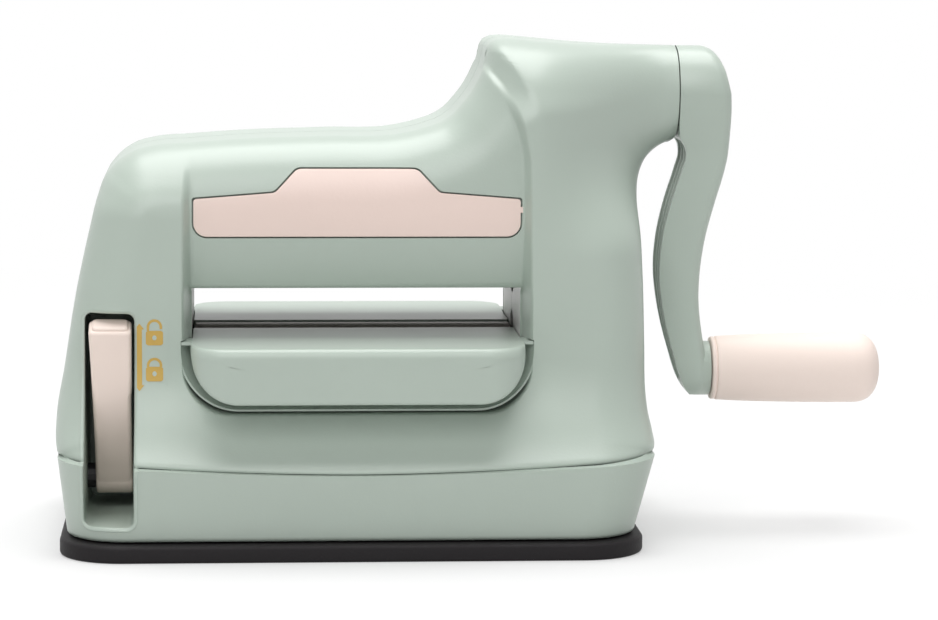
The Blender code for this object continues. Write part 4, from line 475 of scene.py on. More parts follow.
# two points of the left side lead in and only set the first slope
hoodTop = smoothCurve(housing["left"][-3:-1] + housing["hood"] + housing["sweep"][1:])[2 * curveSamples:]
hoodOnly = pointsAt(hoodTop, np.linspace(0, nearestAlong(hoodTop, housing["sweep"][0]), 120))
valleyEnd = pointsAt(hoodTop, [nearestAlong(hoodTop, housing["valley"][-1])])[0]
sweepTail = pointsAt(hoodTop, np.linspace(nearestAlong(hoodTop, valleyEnd), lengthsAlong(hoodTop)[-1], 20))
towerEdge = np.vstack([sweepTail[:-1], towerTop])


def seamHeight(x):
    h = housing
    return h["seam"] + h["seamRise"] * np.clip(np.abs(x) / h["halfWidth"], 0, 1) ** h["seamPower"]


def bodyDepth(x, z):
    # the face leans back up the body and flares out to the belly below
    h = housing
    flare = np.clip((h["flareTop"] - z) / (h["flareTop"] - h["seam"]), 0, 1)
    taper = np.clip((z - h["flareTop"]) / (h["towerTopZ"] - h["flareTop"]), 0, 1)
    lean = h["lean"] * eased((z - h["leanFrom"]) / h["leanRise"])
    lean = lean * eased((-x - h["leanSide"]) / h["leanReach"])
    belly = (h["bellyDepth"] - h["cheekDepth"]) * flare ** h["flarePower"]
    return h["cheekDepth"] - h["cheekTaper"] * taper - lean + belly


def cheekSurface(x, z):
    # the body's face, rounded towards its outline and drawn in to the round stub at the right
    h = housing
    low = h["stubAxis"] - h["stubRadius"] - h["stubFall"]
    share = eased((x - h["stubStart"]) / h["stubLength"]) * eased((z - low) / h["stubFall"])
    up = eased((z - h["seam"]) / (h["flareTop"] - h["seam"]))
    radius = h["bellyCorner"] + (h["sideRounding"] - h["bellyCorner"]) * up
    radius = radius + (h["topRounding"] - h["sideRounding"]) * eased((z - h["leanFrom"]) / h["roundReach"])
    radius = radius + h["towerRounding"] * eased((z - h["towerFrom"]) / h["roundReach"])
    radius = radius * (1 - share) + h["stubRadius"] * share
    depth = bodyDepth(x, z) * (1 - share) + h["stubRadius"] * share
    face = arcFall(depth, radius, distanceTo(x, z, (leftSide, hoodOnly, towerEdge, rightSide)))
    # over the seam the face turns in by a parabola: drop (1 - height / reach)^2
    return face - h["seamDrop"] * np.clip(1 - (z - seamHeight(x) - h["gap"]) / h["seamReach"], 0, 1) ** 2


def hoodSurface(x, z):
    # the hood bows back towards its lower edge and rounds over at the top
    h = housing
    bulge = (h["bulge"] - np.maximum(z, h["hoodEdge"])) / (h["bulge"] - h["hoodEdge"])
    depth = h["hoodDepth"] - (h["hoodDepth"] - h["hoodEdgeDepth"]) * np.maximum(bulge, 0) ** 2
    depth = arcFall(depth, h["lipEdge"], np.maximum(z - h["hoodEdge"], 0))
    return arcFall(depth, h["topRounding"], distanceTo(x, z, (hoodTop,)))


def innerCurve():
    # the foot of the step: down beside the hood, round under the throat and up the valley
    h = housing
    top = pointsAt(hoodTop, [nearestAlong(hoodTop, (-h["stepX"], h["stepTop"]))])[0]
    turns, radius = quarter(16), h["innerArc"]
    middle = h["innerBottom"] + radius
    arc = np.stack([h["stepX"] - radius * (1 - np.cos(turns)), middle - radius * np.sin(turns)], 1)
    leftRun = np.array([[-h["stepX"], z] for z in np.linspace(top[1], middle, 80)[:-1]])
    leftRun[0] = top
    rightRun = np.array([[h["stepX"], z] for z in np.linspace(middle, h["valley"][0][1], 40)[1:-1]])
    valley = smoothCurve(h["valley"][:-1] + [tuple(valleyEnd)])
    return np.vstack([leftRun, arc * (-1, 1), arc[::-1], rightRun, valley])


def outerCurve(start):
    # the outline from the step's top at the left, round the seam, to the valley's top
    first = pointsAt(hoodTop, np.linspace(nearestAlong(hoodTop, start), 0, 60))
    x = np.linspace(leftSide[0, 0], rightSide[0, 0], 160)
    seam = np.stack([x, seamHeight(x) + housing["gap"]], 1)
    endFace = np.linspace(rightSide[-1], towerTop[-1], 40)
    left, right = leftSide[::-1].copy(), rightSide.copy()
    left[-1], right[0] = seam[0], seam[-1]
    return np.vstack([first[:-1], left[:-1], seam[:-1], right[:-1], endFace[:-1], towerEdge[::-1]])


inner = innerCurve()
outer = outerCurve(inner[0])
# matching places on the two curves, with how many columns run up to each
stripKeys = [
    ((-38.9, 84.0), (-57.8, 89.6), 40), ((-38.9, 61.4), (-66.4, 58.5), 54),
    ((-38.9, 49.6), (-69.6, 40.0), 18), ((-36.3, 37.7), (-70.6, 22.9), 26),
    ((-27.0, 35.1), (-45.0, 21.4), 30), ((27.0, 35.1), (45.0, 21.4), 80), ((36.3, 37.7), (70.6, 22.9), 30),
    ((38.9, 49.6), (69.0, 40.0), 26), ((38.9, 61.4), (68.5, 60.0), 18), ((38.9, 82.0), (68.0, 81.0), 24),
    ((37.6, 98.0), (78.3, 95.05), 26), ((34.4, 106.0), (78.3, 117.75), 20), (inner[-1], outer[-1], 24),
]
wallLess = ((4, 7), (11, 12))  # stretches along the seam and over the stub's end, which get no side wall


def stripColumns():
    # places along the two curves for each column, crowded towards both ends, and the column at each key
    keys = [(0, 0, 0)]
    keys += [(nearestAlong(inner, a), nearestAlong(outer, b), count) for a, b, count in stripKeys]
    along, columns = [[], []], [0]
    for index in range(1, len(keys)):
        count = keys[index][2]
        share = np.linspace(0, 1, count, endpoint=False)
        if index == 1:
            share = polarShares(count + 1)[:-1]
        if index == len(keys) - 1:
            share = (1 - polarShares(count + 1)[::-1])[:-1]
        for side in (0, 1):
            a, b = keys[index - 1][side], keys[index][side]
            along[side].append(a + (b - a) * share)
        columns.append(columns[-1] + count)
    along = [np.concatenate(part + [[end]]) for part, end in zip(along, keys[-1])]
    return pointsAt(inner, along[0]), pointsAt(outer, along[1]), columns


def withWall(x, z, depth, rows):
    # carries the last column of a grid straight back to the plane between the halves
    grid = np.stack([x, -depth, z], -1)
    wall = depth[:, -1:] + (housing["gap"] - depth[:, -1:]) * np.linspace(0, 1, rows + 1)[1:]
    side = np.stack([np.repeat(x[:, -1:], rows, 1), -wall, np.repeat(z[:, -1:], rows, 1)], -1)
    return np.concatenate([grid, side], 1)


def frontSkin(innerRows=12, middleRows=22, outerRows=16, wallRows=7, hoodColumns=90):
    # strip: p = I + v (O - I), its depth from the step, the cheek and the roundings;
    # hood: a patch between the strip's two inner edges, the lip and the outline
    h = housing
    inside, outside, columns = stripColumns()
    reach = np.linalg.norm(outside - inside, axis=1)
    stepBand = np.minimum(h["stepWidth"] * h["stepBand"], h["stepShare"] * reach)
    roundBand = np.minimum(h["roundBand"], h["roundShare"] * reach)
    first = stepBand[:, None] * np.linspace(0, 1, innerRows)
    last = reach[:, None] - roundBand[:, None] * polarShares(outerRows)[::-1]
    t = np.linspace(0, 1, middleRows + 2)[1:-1]
    middle = first[:, -1:] + (last[:, :1] - first[:, -1:]) * t
    v = np.concatenate([first, middle, last], 1) / np.maximum(reach, 1e-6)[:, None]
    x, z = np.moveaxis(inside[:, None] + v[..., None] * (outside - inside)[:, None], -1, 0)
    cheek, hood = cheekSurface(x, z), hoodSurface(x, z)
    below = eased((h["hoodEdge"] - z) / h["throatBlend"])
    floor = hood * (1 - below) + h["throatDepth"] * below
    step = eased(distanceTo(x, z, (inner,)) / h["stepWidth"])
    strip = withWall(x, z, floor + (cheek - floor) * step, wallRows)
    rows, total = strip.shape[:2]
    keep = np.ones((rows - 1, total - 1), bool)
    for a, b in wallLess:
        keep[columns[a]:columns[b], total - 1 - wallRows:] = False
    faces = gridFaces(rows, total, keep=keep)

    left, right = inside[:columns[2] + 1][::-1], inside[columns[9]:]
    ends = [nearestAlong(hoodTop, side[-1]) for side in (left, right)]
    top = pointsAt(hoodTop, np.linspace(*ends, hoodColumns))
    bottom = np.linspace(left[0], right[0], hoodColumns)
    s = np.linspace(0, 1, hoodColumns)[:, None, None]
    u = (sum(lengthsAlong(edge) / lengthsAlong(edge)[-1] for edge in (left, right)) / 2)[None, :, None]
    patch = ((1 - u) * bottom[:, None] + u * top[:, None] + (1 - s) * left[None] + s * right[None]
             - (1 - s) * (1 - u) * left[0] - s * (1 - u) * right[0]
             - (1 - s) * u * left[-1] - s * u * right[-1])
    x, z = np.moveaxis(patch, -1, 0)
    hoodGrid = withWall(x, z, hoodSurface(x, z), wallRows)
    faces = np.vstack([faces, gridFaces(*hoodGrid.shape[:2], rows * total)])
    return np.vstack([strip.reshape(-1, 3), hoodGrid.reshape(-1, 3)]), faces


# Cuts in the housing: pocket of the scoop, slot of the lever, bed of the panel, sinks of the rear screws

pocket = {"half": 41.4, "bottom": 34.2, "corner": 13.6, "top": 49.9, "front": -62.0, "back": -31.0}
slot = {"x": -58.0, "half": 5.8, "bottom": 8.0, "top": 56.2, "corner": 1.8, "rim": 1.0, "rimOverlap": 0.14,
        "front": -70.0, "back": -2.4, "behind": 1.0, "wall": 0.6}
panel = {"half": 38.4, "bottom": 73.9, "end": 8.8, "shoulder": 1.5, "tabHeight": 5.5, "tabHalf": 14.1,
         "slope": 5.2, "tabGrow": 0.6, "corner": 3.2, "tabRound": 2.6, "footRound": 2.2, "endRound": 0.7,
         "gap": 0.38, "thickness": 1.0, "edge": 0.3, "bedFront": 3.0, "bedBack": 0.35,
         "tongue": {"half": 38.4, "low": 79.5, "high": 80.9, "in": 0.5, "out": 0.62, "proud": 0.05,
                    "sunk": 0.8, "round": 0.2, "edge": 0.1}}
sinks = {"radius": 2.8, "seat": 12.0, "end": 70.0,
         "places": ((-52.0, 80.0), (26.0, 92.0), (20.0, 26.5), (63.5, 36.0))}
cusps = {"reach": 8.0, "seamReach": 4.0, "seamShare": 0.36, "leastShare": 0.03,
         "places": [tuple(valleyEnd), (31.2, 116.2), (78.3, 95.05), (76.0, 94.1), (78.3, 117.75),
                    tuple(inner[0])]}


def slotOutline(grow):
    h = slot
    left, right = h["x"] - h["half"] - grow, h["x"] + h["half"] + grow
    low, high = h["bottom"] - grow, h["top"] + grow
    return filleted([(left, high), (left, low), (right, low), (right, high)], h["corner"] + grow)


def panelEdges(grow, columns=260):
    # lower and upper edge of the panel over its width: the ends, the shoulders and the raised middle
    h = panel
    half, low = h["half"] + grow, h["bottom"] - grow
    ends = low + h["end"] + 2 * grow
    shoulder = ends + h["shoulder"]
    top, tab = shoulder + h["tabHeight"], h["tabHalf"] + h["tabGrow"] * grow
    rightTop = [(half, ends), (tab + h["slope"], shoulder), (tab, top)]
    rounds = [h["endRound"], h["footRound"], h["tabRound"]]
    outline = filleted([(-half, low), (half, low)] + rightTop + [(-x, z) for x, z in rightTop[::-1]],
                       [h["corner"] + grow] * 2 + rounds + rounds[::-1], 14)
    corner = h["corner"] + grow
    x = np.linspace(-half + corner, half - corner, columns)
    side = half - corner + corner * np.sin(quarter(13))[1:]
    x = np.concatenate([-side[::-1], x, side])
    upper = outline[outline[:, 1] > (low + ends) / 2]
    upper = upper[np.argsort(upper[:, 0], kind="stable")]
    past = np.maximum(np.abs(x) - (half - corner), 0)
    lowEdge = low + corner - np.sqrt(np.maximum(corner ** 2 - past ** 2, 0))
    return x, lowEdge, np.interp(x, upper[:, 0], upper[:, 1])


def panelSheet(grow, proud, rows=26):
    # z = lower + v (upper - lower), y on the hood's own face
    x, low, high = panelEdges(grow)
    z = low + np.linspace(0, 1, rows)[:, None] * (high - low)
    x = np.repeat(x[None], rows, 0)
    return np.stack([x, -(hoodSurface(x, z) + proud), z], -1)


def wallShare(x, z):
    # thinner where the skin runs out in a point, and behind the rounding over the seam
    h = cusps
    away = np.linalg.norm(np.stack([x, z], 1)[:, None] - np.array(h["places"])[None], axis=2).min(1)
    behind = (z - seamHeight(x)) / h["seamReach"] + h["seamShare"]
    return np.clip(np.minimum(away / h["reach"], behind), h["leastShare"], 1)


def cutShell(shell, cuts, tools=()):
    thicken(shell, housing["wall"], wallShare)
    for other in cuts:
        boolean(shell, other)
    applied(shell, tools=tools)


def makeShells():
    front = buildPiece("front_shell", *frontSkin(), sharp=housing["sharp"])
    outwards(front, (0, -1, 0))
    rear = mirroredPiece(front, "rear_shell")
    outline = uOutline(*(pocket[key] for key in ("half", "bottom", "top", "corner")))
    pocketCut = prismPiece("pocketCut", outline, pocket["front"], pocket["back"])
    bedCut = sheetBlock("bedCut", panelSheet(panel["gap"], panel["bedFront"]),
                        panel["bedFront"] + panel["thickness"] + panel["bedBack"])
    cutShell(front, (pocketCut, slotCut, bedCut))
    rearCuts = [mirroredPiece(pocketCut, "rearPocketCut"), mirroredPiece(bedCut, "rearBedCut")]
    for place in sinks["places"]:
        rearCuts.append(prismPiece("sinkCut", circle(sinks["radius"], place, 48), sinks["seat"],
                                   sinks["end"]))
    cutShell(rear, rearCuts, rearCuts + [pocketCut, bedCut])
    finishPiece(front, greenPlastic, "housing", ("front_housing",))
    finishPiece(rear, greenPlastic, "housing", ("rear_housing",))


slotCut = prismPiece("slotCut", slotOutline(slot["rim"] - slot["rimOverlap"]), slot["front"],
                     slot["back"] - slot["behind"])
makeShells()
print("upper housing made")

# Lower shell: a collar that leans in towards the foot

collar = {"half": 70.25, "depth": 49.7, "corner": 14.8, "lean": 3.2, "shift": -1.2, "low": 4.4, "edge": 1.2,
          "wall": 2.0}


def roundEdge(edge, count=8):
    # rise and inset of each row round a lower edge: e (1 - cos t) and e (1 - sin t)
    return [(edge * (1 - math.cos(t)), edge * (1 - math.sin(t))) for t in quarter(count)]


def collarRing(share, inset=0.0):
    # rounded rectangle that leans in downwards, by lean (1 - share) at the sides and half of it at the faces
    h = collar
    lean = h["lean"] * (1 - share)
    loop = roundedLoop(h["half"] - lean - inset, h["depth"] - lean / 2 - inset, h["corner"] - inset, 22)
    return spreadLoop(loop + (h["shift"] * (1 - share), 0))


def makeCollar():
    h = collar
    rings = [np.insert(collarRing(0.0, inset), 2, h["low"] + rise, axis=1)
             for rise, inset in roundEdge(h["edge"])]
    base = h["low"] + h["edge"]
    for share in np.linspace(0, 1, 24)[1:]:
        ring = collarRing(share)
        top = seamHeight(ring[:, 0]) - housing["gap"]
        rings.append(np.column_stack([ring, base + share * (top - base)]))
    piece = ringPiece("collar_shell", rings, (False, False), sharp=housing["sharp"])
    outwards(piece)
    thicken(piece, h["wall"])
    boolean(piece, slotCut)
    applied(piece, tools=(slotCut,))
    finishPiece(piece, greenPlastic, "housing", ("lower_housing",))


makeCollar()

# Well of the lever: a rounded rim, straight walls and a back


def slotFaceDepth(x, z):
    # how far out the shells stand at the slot, above and below the seam
    h = collar
    share = np.clip((z - h["low"]) / (housing["seam"] - h["low"]), 0, 1)
    lean = h["lean"] * (1 - share)
    past = np.maximum(np.abs(x - h["shift"] * (1 - share)) - (h["half"] - lean - h["corner"]), 0)
    low = h["depth"] - lean / 2 - h["corner"] + np.sqrt(np.maximum(h["corner"] ** 2 - past ** 2, 0))
    return np.where(z < seamHeight(x), low, cheekSurface(x, z))


def makeWell():
    # rim: a quarter circle outwards from the slot's outline; walls: p = rim x (1 - s) + back x s in depth
    h = slot
    loop = spreadLoop(slotOutline(0.0), 260)
    step = np.roll(loop, -1, 0) - np.roll(loop, 1, 0)
    normal = np.stack([step[:, 1], -step[:, 0]], 1) / np.linalg.norm(step, axis=1)[:, None]
    middle = (h["x"], (h["bottom"] + h["top"]) / 2)
    if ((loop + normal - middle) ** 2).sum() < ((loop - middle) ** 2).sum():
        normal = -normal
    rows = []
    for t in quarter(10)[::-1]:
        x, z = (loop + normal * h["rim"] * (1 - math.cos(t))).T
        rows.append(np.column_stack([x, -(slotFaceDepth(x, z) - h["rim"] * (1 - math.sin(t))), z]))
    rim = rows[-1]
    for share in np.linspace(0, 1, 12)[1:]:
        rows.append(rim * (1, 1 - share, 1) + (0, h["back"] * share, 0))
    piece = ringPiece("lever_well", rows, (False, True), sharp=40)
    outwards(piece, (0, -1, 0))
    thicken(piece, h["wall"])
    finishPiece(piece, greenPlastic)


makeWell()
print("lower housing made")

# Foot: a soft pad a little wider than the shell above it

foot = {"half": 68.6, "depth": 51.0, "corner": 15.0, "shift": -1.2, "height": 4.1, "edge": 0.9}


def makeFoot():
    h = foot
    rows = roundEdge(h["edge"])
    rings = []
    for z, inset in rows + [(h["height"] - rise, inset) for rise, inset in rows[::-1]]:
        loop = roundedLoop(h["half"] - inset, h["depth"] - inset, h["corner"] - inset, 24) + (h["shift"], 0)
        rings.append(np.insert(loop, 2, z, axis=1))
    finishPiece(ringPiece("foot_pad", rings), blackRubber, "housing", ("rubber_foot",))


makeFoot()

# Panels: cream sheets let into the hood, with a raised middle, and a small tongue over the gap at the right


def makePanels():
    piece = sheetBlock("front_panel", panelSheet(0.0, 0.0), panel["thickness"])
    softened(piece, panel["edge"])
    applied(piece)
    finishPiece(mirroredPiece(piece, "rear_panel"), creamPlastic, "housing", ("rear_inlay",))
    finishPiece(piece, creamPlastic, "housing", ("front_inlay",))
    h = panel["tongue"]
    depth = float(hoodSurface(np.array([h["half"]]), np.array([(h["low"] + h["high"]) / 2]))[0])
    left, right = h["half"] - h["in"], h["half"] + h["out"]
    outline = filleted([(left, h["low"]), (right, h["low"]), (right, h["high"]), (left, h["high"])],
                       h["round"], 3)
    tongue = prismPiece("panel_tongue", outline, -depth - h["proud"], -depth + h["sunk"])
    softened(tongue, h["edge"])
    finishPiece(tongue, creamPlastic)


makePanels()
print("foot and panels made")

# Lining of the pocket: a U that slants from the pocket's edge in the face to the scoop's outline at its back

liner = {"inset": 0.1, "sunk": 0.12, "backHalf": 39.15, "backBottom": 36.45, "backCorner": 11.1,
         "back": -31.4, "wall": 0.5, "ledgeIn": 38.6, "ledgeOut": 41.35, "ledgeBack": -27.9,
         "ledgeLow": 48.9, "ledgeTop": 49.62, "underLedge": 0.1, "ledgeSunk": 0.1, "ledgeRound": 0.25}


def makeLiner():
    # p = front + s (back - front), between evenly spread points of the two outlines
    h = liner
    top = h["ledgeTop"] - h["underLedge"]
    outlines = (uOutline(pocket["half"] + h["inset"], pocket["bottom"] - h["inset"], top, pocket["corner"]),
                uOutline(h["backHalf"], h["backBottom"], top, h["backCorner"]))
    wide, tight = (pointsAt(line, np.linspace(0, lengthsAlong(line)[-1], 220)) for line in outlines)
    front = -(cheekSurface(wide[:, 0], wide[:, 1]) - h["sunk"])
    rows = []
    for share in np.linspace(0, 1, 8):
        line = wide + share * (tight - wide)
        rows.append(np.column_stack([line[:, 0], front + (h["back"] - front) * share, line[:, 1]]))
    piece = buildPiece("front_pocket_liner", np.concatenate(rows), gridFaces(len(rows), len(wide)))
    outwards(piece, (0, -1, 0))
    thicken(piece, h["wall"])
    face = cheekSurface(np.array([h["ledgeOut"]]), np.array([h["ledgeTop"]]))[0] - h["ledgeSunk"]
    ledges = []
    for side in (-1, 1):
        near, far = side * h["ledgeIn"], side * h["ledgeOut"]
        plan = filleted([(near, -face), (far, -face), (far, h["ledgeBack"]), (near, h["ledgeBack"])],
                        h["ledgeRound"], 3)
        ledges.append(prismPiece("ledge", plan, h["ledgeLow"], h["ledgeTop"], "Z"))
        boolean(piece, ledges[-1], "UNION")
    applied(piece, tools=ledges)
    finishPiece(mirroredPiece(piece, "rear_pocket_liner"), greenPlastic)
    finishPiece(piece, greenPlastic)


makeLiner()

# Scoops: drafted sides, a face rounded in plan, and the shelf that runs back to the rollers

scoop = {"backHalf": 39.25, "backBottom": 36.4, "backCorner": 11.3, "half": 38.95, "bottom": 36.6,
         "corner": 11.2, "top": 49.6, "topCorner": 0.25, "back": -31.3, "face": -50.0, "plan": 8.4,
         "planDepth": 9.0, "edge": 0.8, "topEdge": 2.4, "topEdgeDepth": 1.92, "heart": 26.0, "heartLow": 5.5,
         "heartDrop": 5.0, "heartCorner": 0.6, "thickness": 2.2, "overlap": 0.001,
         "plates": {"shelf": (-31.8, -27.9), "tail": (-32.3, -8.0)}, "plateHalf": 38.7, "plateRound": 0.3}


def scoopRing(half, bottom, top, corner, count=360):
    # closed ring, evenly spread, starting in the middle of its top edge
    outline = filleted([(-half, top), (-half, bottom), (half, bottom), (half, top)],
                       [scoop["topCorner"], corner, corner, scoop["topCorner"]], 24)
    return spreadLoop(np.vstack([(0.0, top), outline]), count)


def scoopFace(x):
    # the face in plan: straight, then a quarter ellipse at each end
    h = scoop
    past = np.clip((np.abs(x) - (h["half"] - h["plan"])) / h["plan"], 0, 1)
    return h["face"] + h["planDepth"] * (1 - np.sqrt(1 - past ** 2))


def makeScoop():
    # sides: p = B + s (F - B); edge: a quarter circle from the front ring to the near one; face: to the heart
    h = scoop
    back = scoopRing(h["backHalf"], h["backBottom"], h["top"], h["backCorner"])
    front = scoopRing(h["half"], h["bottom"], h["top"], h["corner"])
    near = scoopRing(h["half"] - h["edge"], h["bottom"] + h["edge"], h["top"] - h["topEdge"],
                     h["corner"] - h["edge"])
    heart = scoopRing(h["heart"], h["bottom"] + h["heartLow"], h["top"] - h["heartDrop"], h["heartCorner"])
    share = eased((front[:, 1] - h["top"] + h["topEdge"]) / h["topEdge"])
    edge = h["edge"] + (h["topEdgeDepth"] - h["edge"]) * share
    start = scoopFace(front[:, 0]) + edge
    rows = []
    for share in np.linspace(0, 1, 12):
        ring = back + share * (front - back)
        rows.append(np.column_stack([ring[:, 0], h["back"] + share * (start - h["back"]), ring[:, 1]]))
    for turn in quarter(11)[1:]:
        x, z = (front + (near - front) * (1 - math.cos(turn))).T
        rows.append(np.column_stack([x, scoopFace(x) + edge * (1 - math.sin(turn)), z]))
    for share in np.linspace(0, 1, 12)[1:]:
        x, z = (near + share * (heart - near)).T
        rows.append(np.column_stack([x, scoopFace(x), z]))
    piece = ringPiece("front_scoop", rows, sharp=40)
    plates = []
    for name, (fore, aft) in h["plates"].items():
        half, sunk = h["plateHalf"], h["overlap"] * (len(plates) + 1)
        plan = filleted([(-half, fore), (half, fore), (half, aft), (-half, aft)], h["plateRound"], 3)
        low = h["top"] - h["thickness"] + 2 * h["overlap"] * len(plates)
        plates.append(prismPiece(name, plan, low, h["top"] - sunk, "Z"))
        boolean(piece, plates[-1], "UNION")
    applied(piece, tools=plates)
    finishPiece(mirroredPiece(piece, "rear_scoop"), greenPlastic, "housing", ("rear_tray",))
    finishPiece(piece, greenPlastic, "housing", ("front_tray",))


makeScoop()
print("trays made")

# Crank arm: a bowed arm that hangs from a round hub, hollow and ribbed on the face towards the body

arm = {"axis": 106.4, "hub": 11.35, "inner": 78.6, "grip": 38.4,
       # height, inner face, outer face and half width
       "rows": [(106.4, 78.6, 91.25, 11.35), (102.7, 78.6, 91.4, 10.9), (98.9, 78.65, 91.4, 9.9),
                (95.9, 78.9, 91.3, 9.1), (93.2, 80.3, 91.15, 8.5), (91.0, 80.5, 90.95, 8.25),
                (87.7, 79.6, 90.3, 7.95), (79.5, 77.0, 88.0, 7.5), (71.0, 75.1, 85.85, 7.2),
                (62.2, 74.5, 84.65, 6.95), (56.1, 75.1, 84.5, 6.75), (46.9, 77.0, 85.5, 6.75),
                (42.1, 78.4, 86.35, 6.9), (38.7, 79.4, 86.8, 6.95), (35.7, 80.5, 86.9, 6.5),
                (33.6, 81.6, 86.6, 5.2), (32.2, 82.7, 86.0, 3.4)],
       "crown": [(0, 91.25), (30, 89.9), (50, 88.5), (66, 87.1), (78, 85.6), (88, 84.4)],  # angle, outer face
       "round": 2.6, "roundShare": 0.6, "wall": 1.2, "depth": 5.0, "depthShare": 0.55, "leastDepth": 0.002,
       "rib": 0.4, "ribAt": 0.36, "ribDrop": 0.12, "ribShare": 0.8, "bevel": 0.3, "bevelAngle": 55,
       "sharp": 50, "closing": 0.3, "closePower": 0.7, "channelTop": 95.0, "channelTopFade": 3.5,
       "channelLow": 35.0, "channelLowFade": 13.0,
       "boss": (6.65, 84.0, 87.66), "sink": (4.0, 88.55, 100.0)}  # radius, from, to


def armRows():
    # the crown follows the hub's circle, and the rows below it a smooth curve
    h = arm
    angle = np.linspace(88, 0, 26)[:-1]
    t = np.radians(angle)
    top = np.stack([h["axis"] + h["hub"] * np.sin(t), np.full(len(t), h["inner"]),
                    np.interp(angle, *np.array(h["crown"], float).T), h["hub"] * np.cos(t)], 1)
    return np.vstack([top, smoothCurve(h["rows"], 9)])


def armSection(rows):
    # one closed loop per height: along the channel with its two ribs, then round the outer face
    h = arm
    z, low, high, half = rows.T
    openness = eased((h["channelTop"] - z) / h["channelTopFade"])
    openness = openness * eased((z - h["channelLow"]) / h["channelLowFade"]) ** h["closePower"]
    depth = np.minimum(h["depth"], h["depthShare"] * (high - low)) * openness + h["leastDepth"]
    inside = half - h["wall"] - (1 - openness) * h["closing"] * half
    floor, ribTop = low + depth, low + np.minimum(h["ribDrop"], h["ribShare"] * depth)
    near, far = (h["ribAt"] * inside + side * h["rib"] * openness for side in (-1, 1))
    channel = [(low, half), (low, inside), (floor, inside), (floor, far), (ribTop, far), (ribTop, near),
               (floor, near)]
    loop = [(x, -y) for x, y in channel] + channel[::-1]
    radius = np.minimum(h["round"], h["roundShare"] * half)
    for side, turns in ((1, quarter(9)), (-1, quarter(9)[::-1])):
        for t in turns:
            loop.append((high - radius + radius * math.sin(t),
                         side * (half - radius + radius * math.cos(t))))
    return np.stack([np.stack([x, y, z], 1) for x, y in loop], 1)


def makeArm():
    h = arm
    piece = ringPiece("bowed_arm", armSection(armRows()), weld=0.001)
    tools = []
    for name, height, operation in (("boss", h["grip"], "UNION"), ("sink", h["axis"], "DIFFERENCE")):
        radius, start, end = h[name]
        tools.append(prismPiece(name, circle(radius, (0, height), 72), start, end, "X"))
        boolean(piece, tools[-1], operation)
    softened(piece, h["bevel"], h["bevelAngle"])
    applied(piece, h["sharp"], tools)
    finishPiece(piece, greenPlastic, "crank", ("crank_arm",))


makeArm()

hubScrew = {"axis": 106.4, "from": 79.0, "seat": 88.7, "rim": 0.7, "top": 90.6, "shank": 1.5, "head": 3.5,
            "cross": (2.0, 0.45), "crossDepth": 0.9, "past": 1.0}


def makeHubScrew():
    # a domed head with a cross recess on a plain shank; dome: x = base + height sin t, r = head cos t
    h = hubScrew
    base = h["seat"] + h["rim"]
    profile = [(h["from"], poleRadius), (h["from"], h["shank"]), (h["seat"], h["shank"]),
               (h["seat"], h["head"])]
    profile += [(base + (h["top"] - base) * math.sin(t), max(h["head"] * math.cos(t), poleRadius))
                for t in quarter(9)]
    piece = turnedPiece("hub_screw", profile, (0, h["axis"]), 64)
    tools = []
    for across, up in (h["cross"], h["cross"][::-1]):
        outline = [(-across, -up), (across, -up), (across, up), (-across, up)]
        tools.append(prismPiece("recess", np.array(outline) + (0, h["axis"]), h["top"] - h["crossDepth"],
                                h["top"] + h["past"], "X"))
        boolean(piece, tools[-1])
    applied(piece, 34, tools)
    finishPiece(piece, zincSteel, "crank", ("crank_screw",))


makeHubScrew()

# Grip: a turned sleeve with a thin rim at its inner end and a full round at the outer one

grip = {"start": 87.96, "end": 129.96, "axis": 38.4, "bore": 3.0, "boreStart": 0.3, "boreEnd": 36.04,
        "sides": 144, "power": 2.5,
        "rim": [(0.0, 3.1), (0.0, 7.35), (0.08, 7.55), (0.25, 7.68), (0.8, 7.72), (0.95, 7.66), (1.02, 7.5),
                (1.12, 7.46), (1.22, 7.55), (1.3, 7.74)],
        "body": [(1.5, 7.84), (6.0, 8.08), (14.0, 8.36), (24.0, 8.56), (32.0, 8.62), (35.4, 8.6)]}


def makeGrip():
    # the nose is a super-ellipse: x = L sin^(2/p) t, r = R cos^(2/p) t
    h = grip
    noseStart, radius = h["body"][-1]
    t, power = quarter(30)[1:], 2 / h["power"]
    nose = np.stack([noseStart + (h["end"] - h["start"] - noseStart) * np.sin(t) ** power,
                     radius * np.maximum(np.cos(t), 1e-4) ** power], 1)
    nose[-1, 1] = poleRadius
    bore = [(h["boreEnd"], poleRadius), (h["boreEnd"], h["bore"]), (h["boreStart"], h["bore"])]
    profile = np.vstack([bore, h["rim"], smoothCurve(h["body"], 8), nose]) + (h["start"], 0)
    piece = turnedPiece("grip_sleeve", profile, (0, h["axis"]), h["sides"])
    finishPiece(piece, gripPlastic, "grip_sleeve", ("grip",))


makeGrip()
print("crank made")

# Suction lever: a bowed paddle on a round hub, with a stepped cap; it narrows to its left downwards

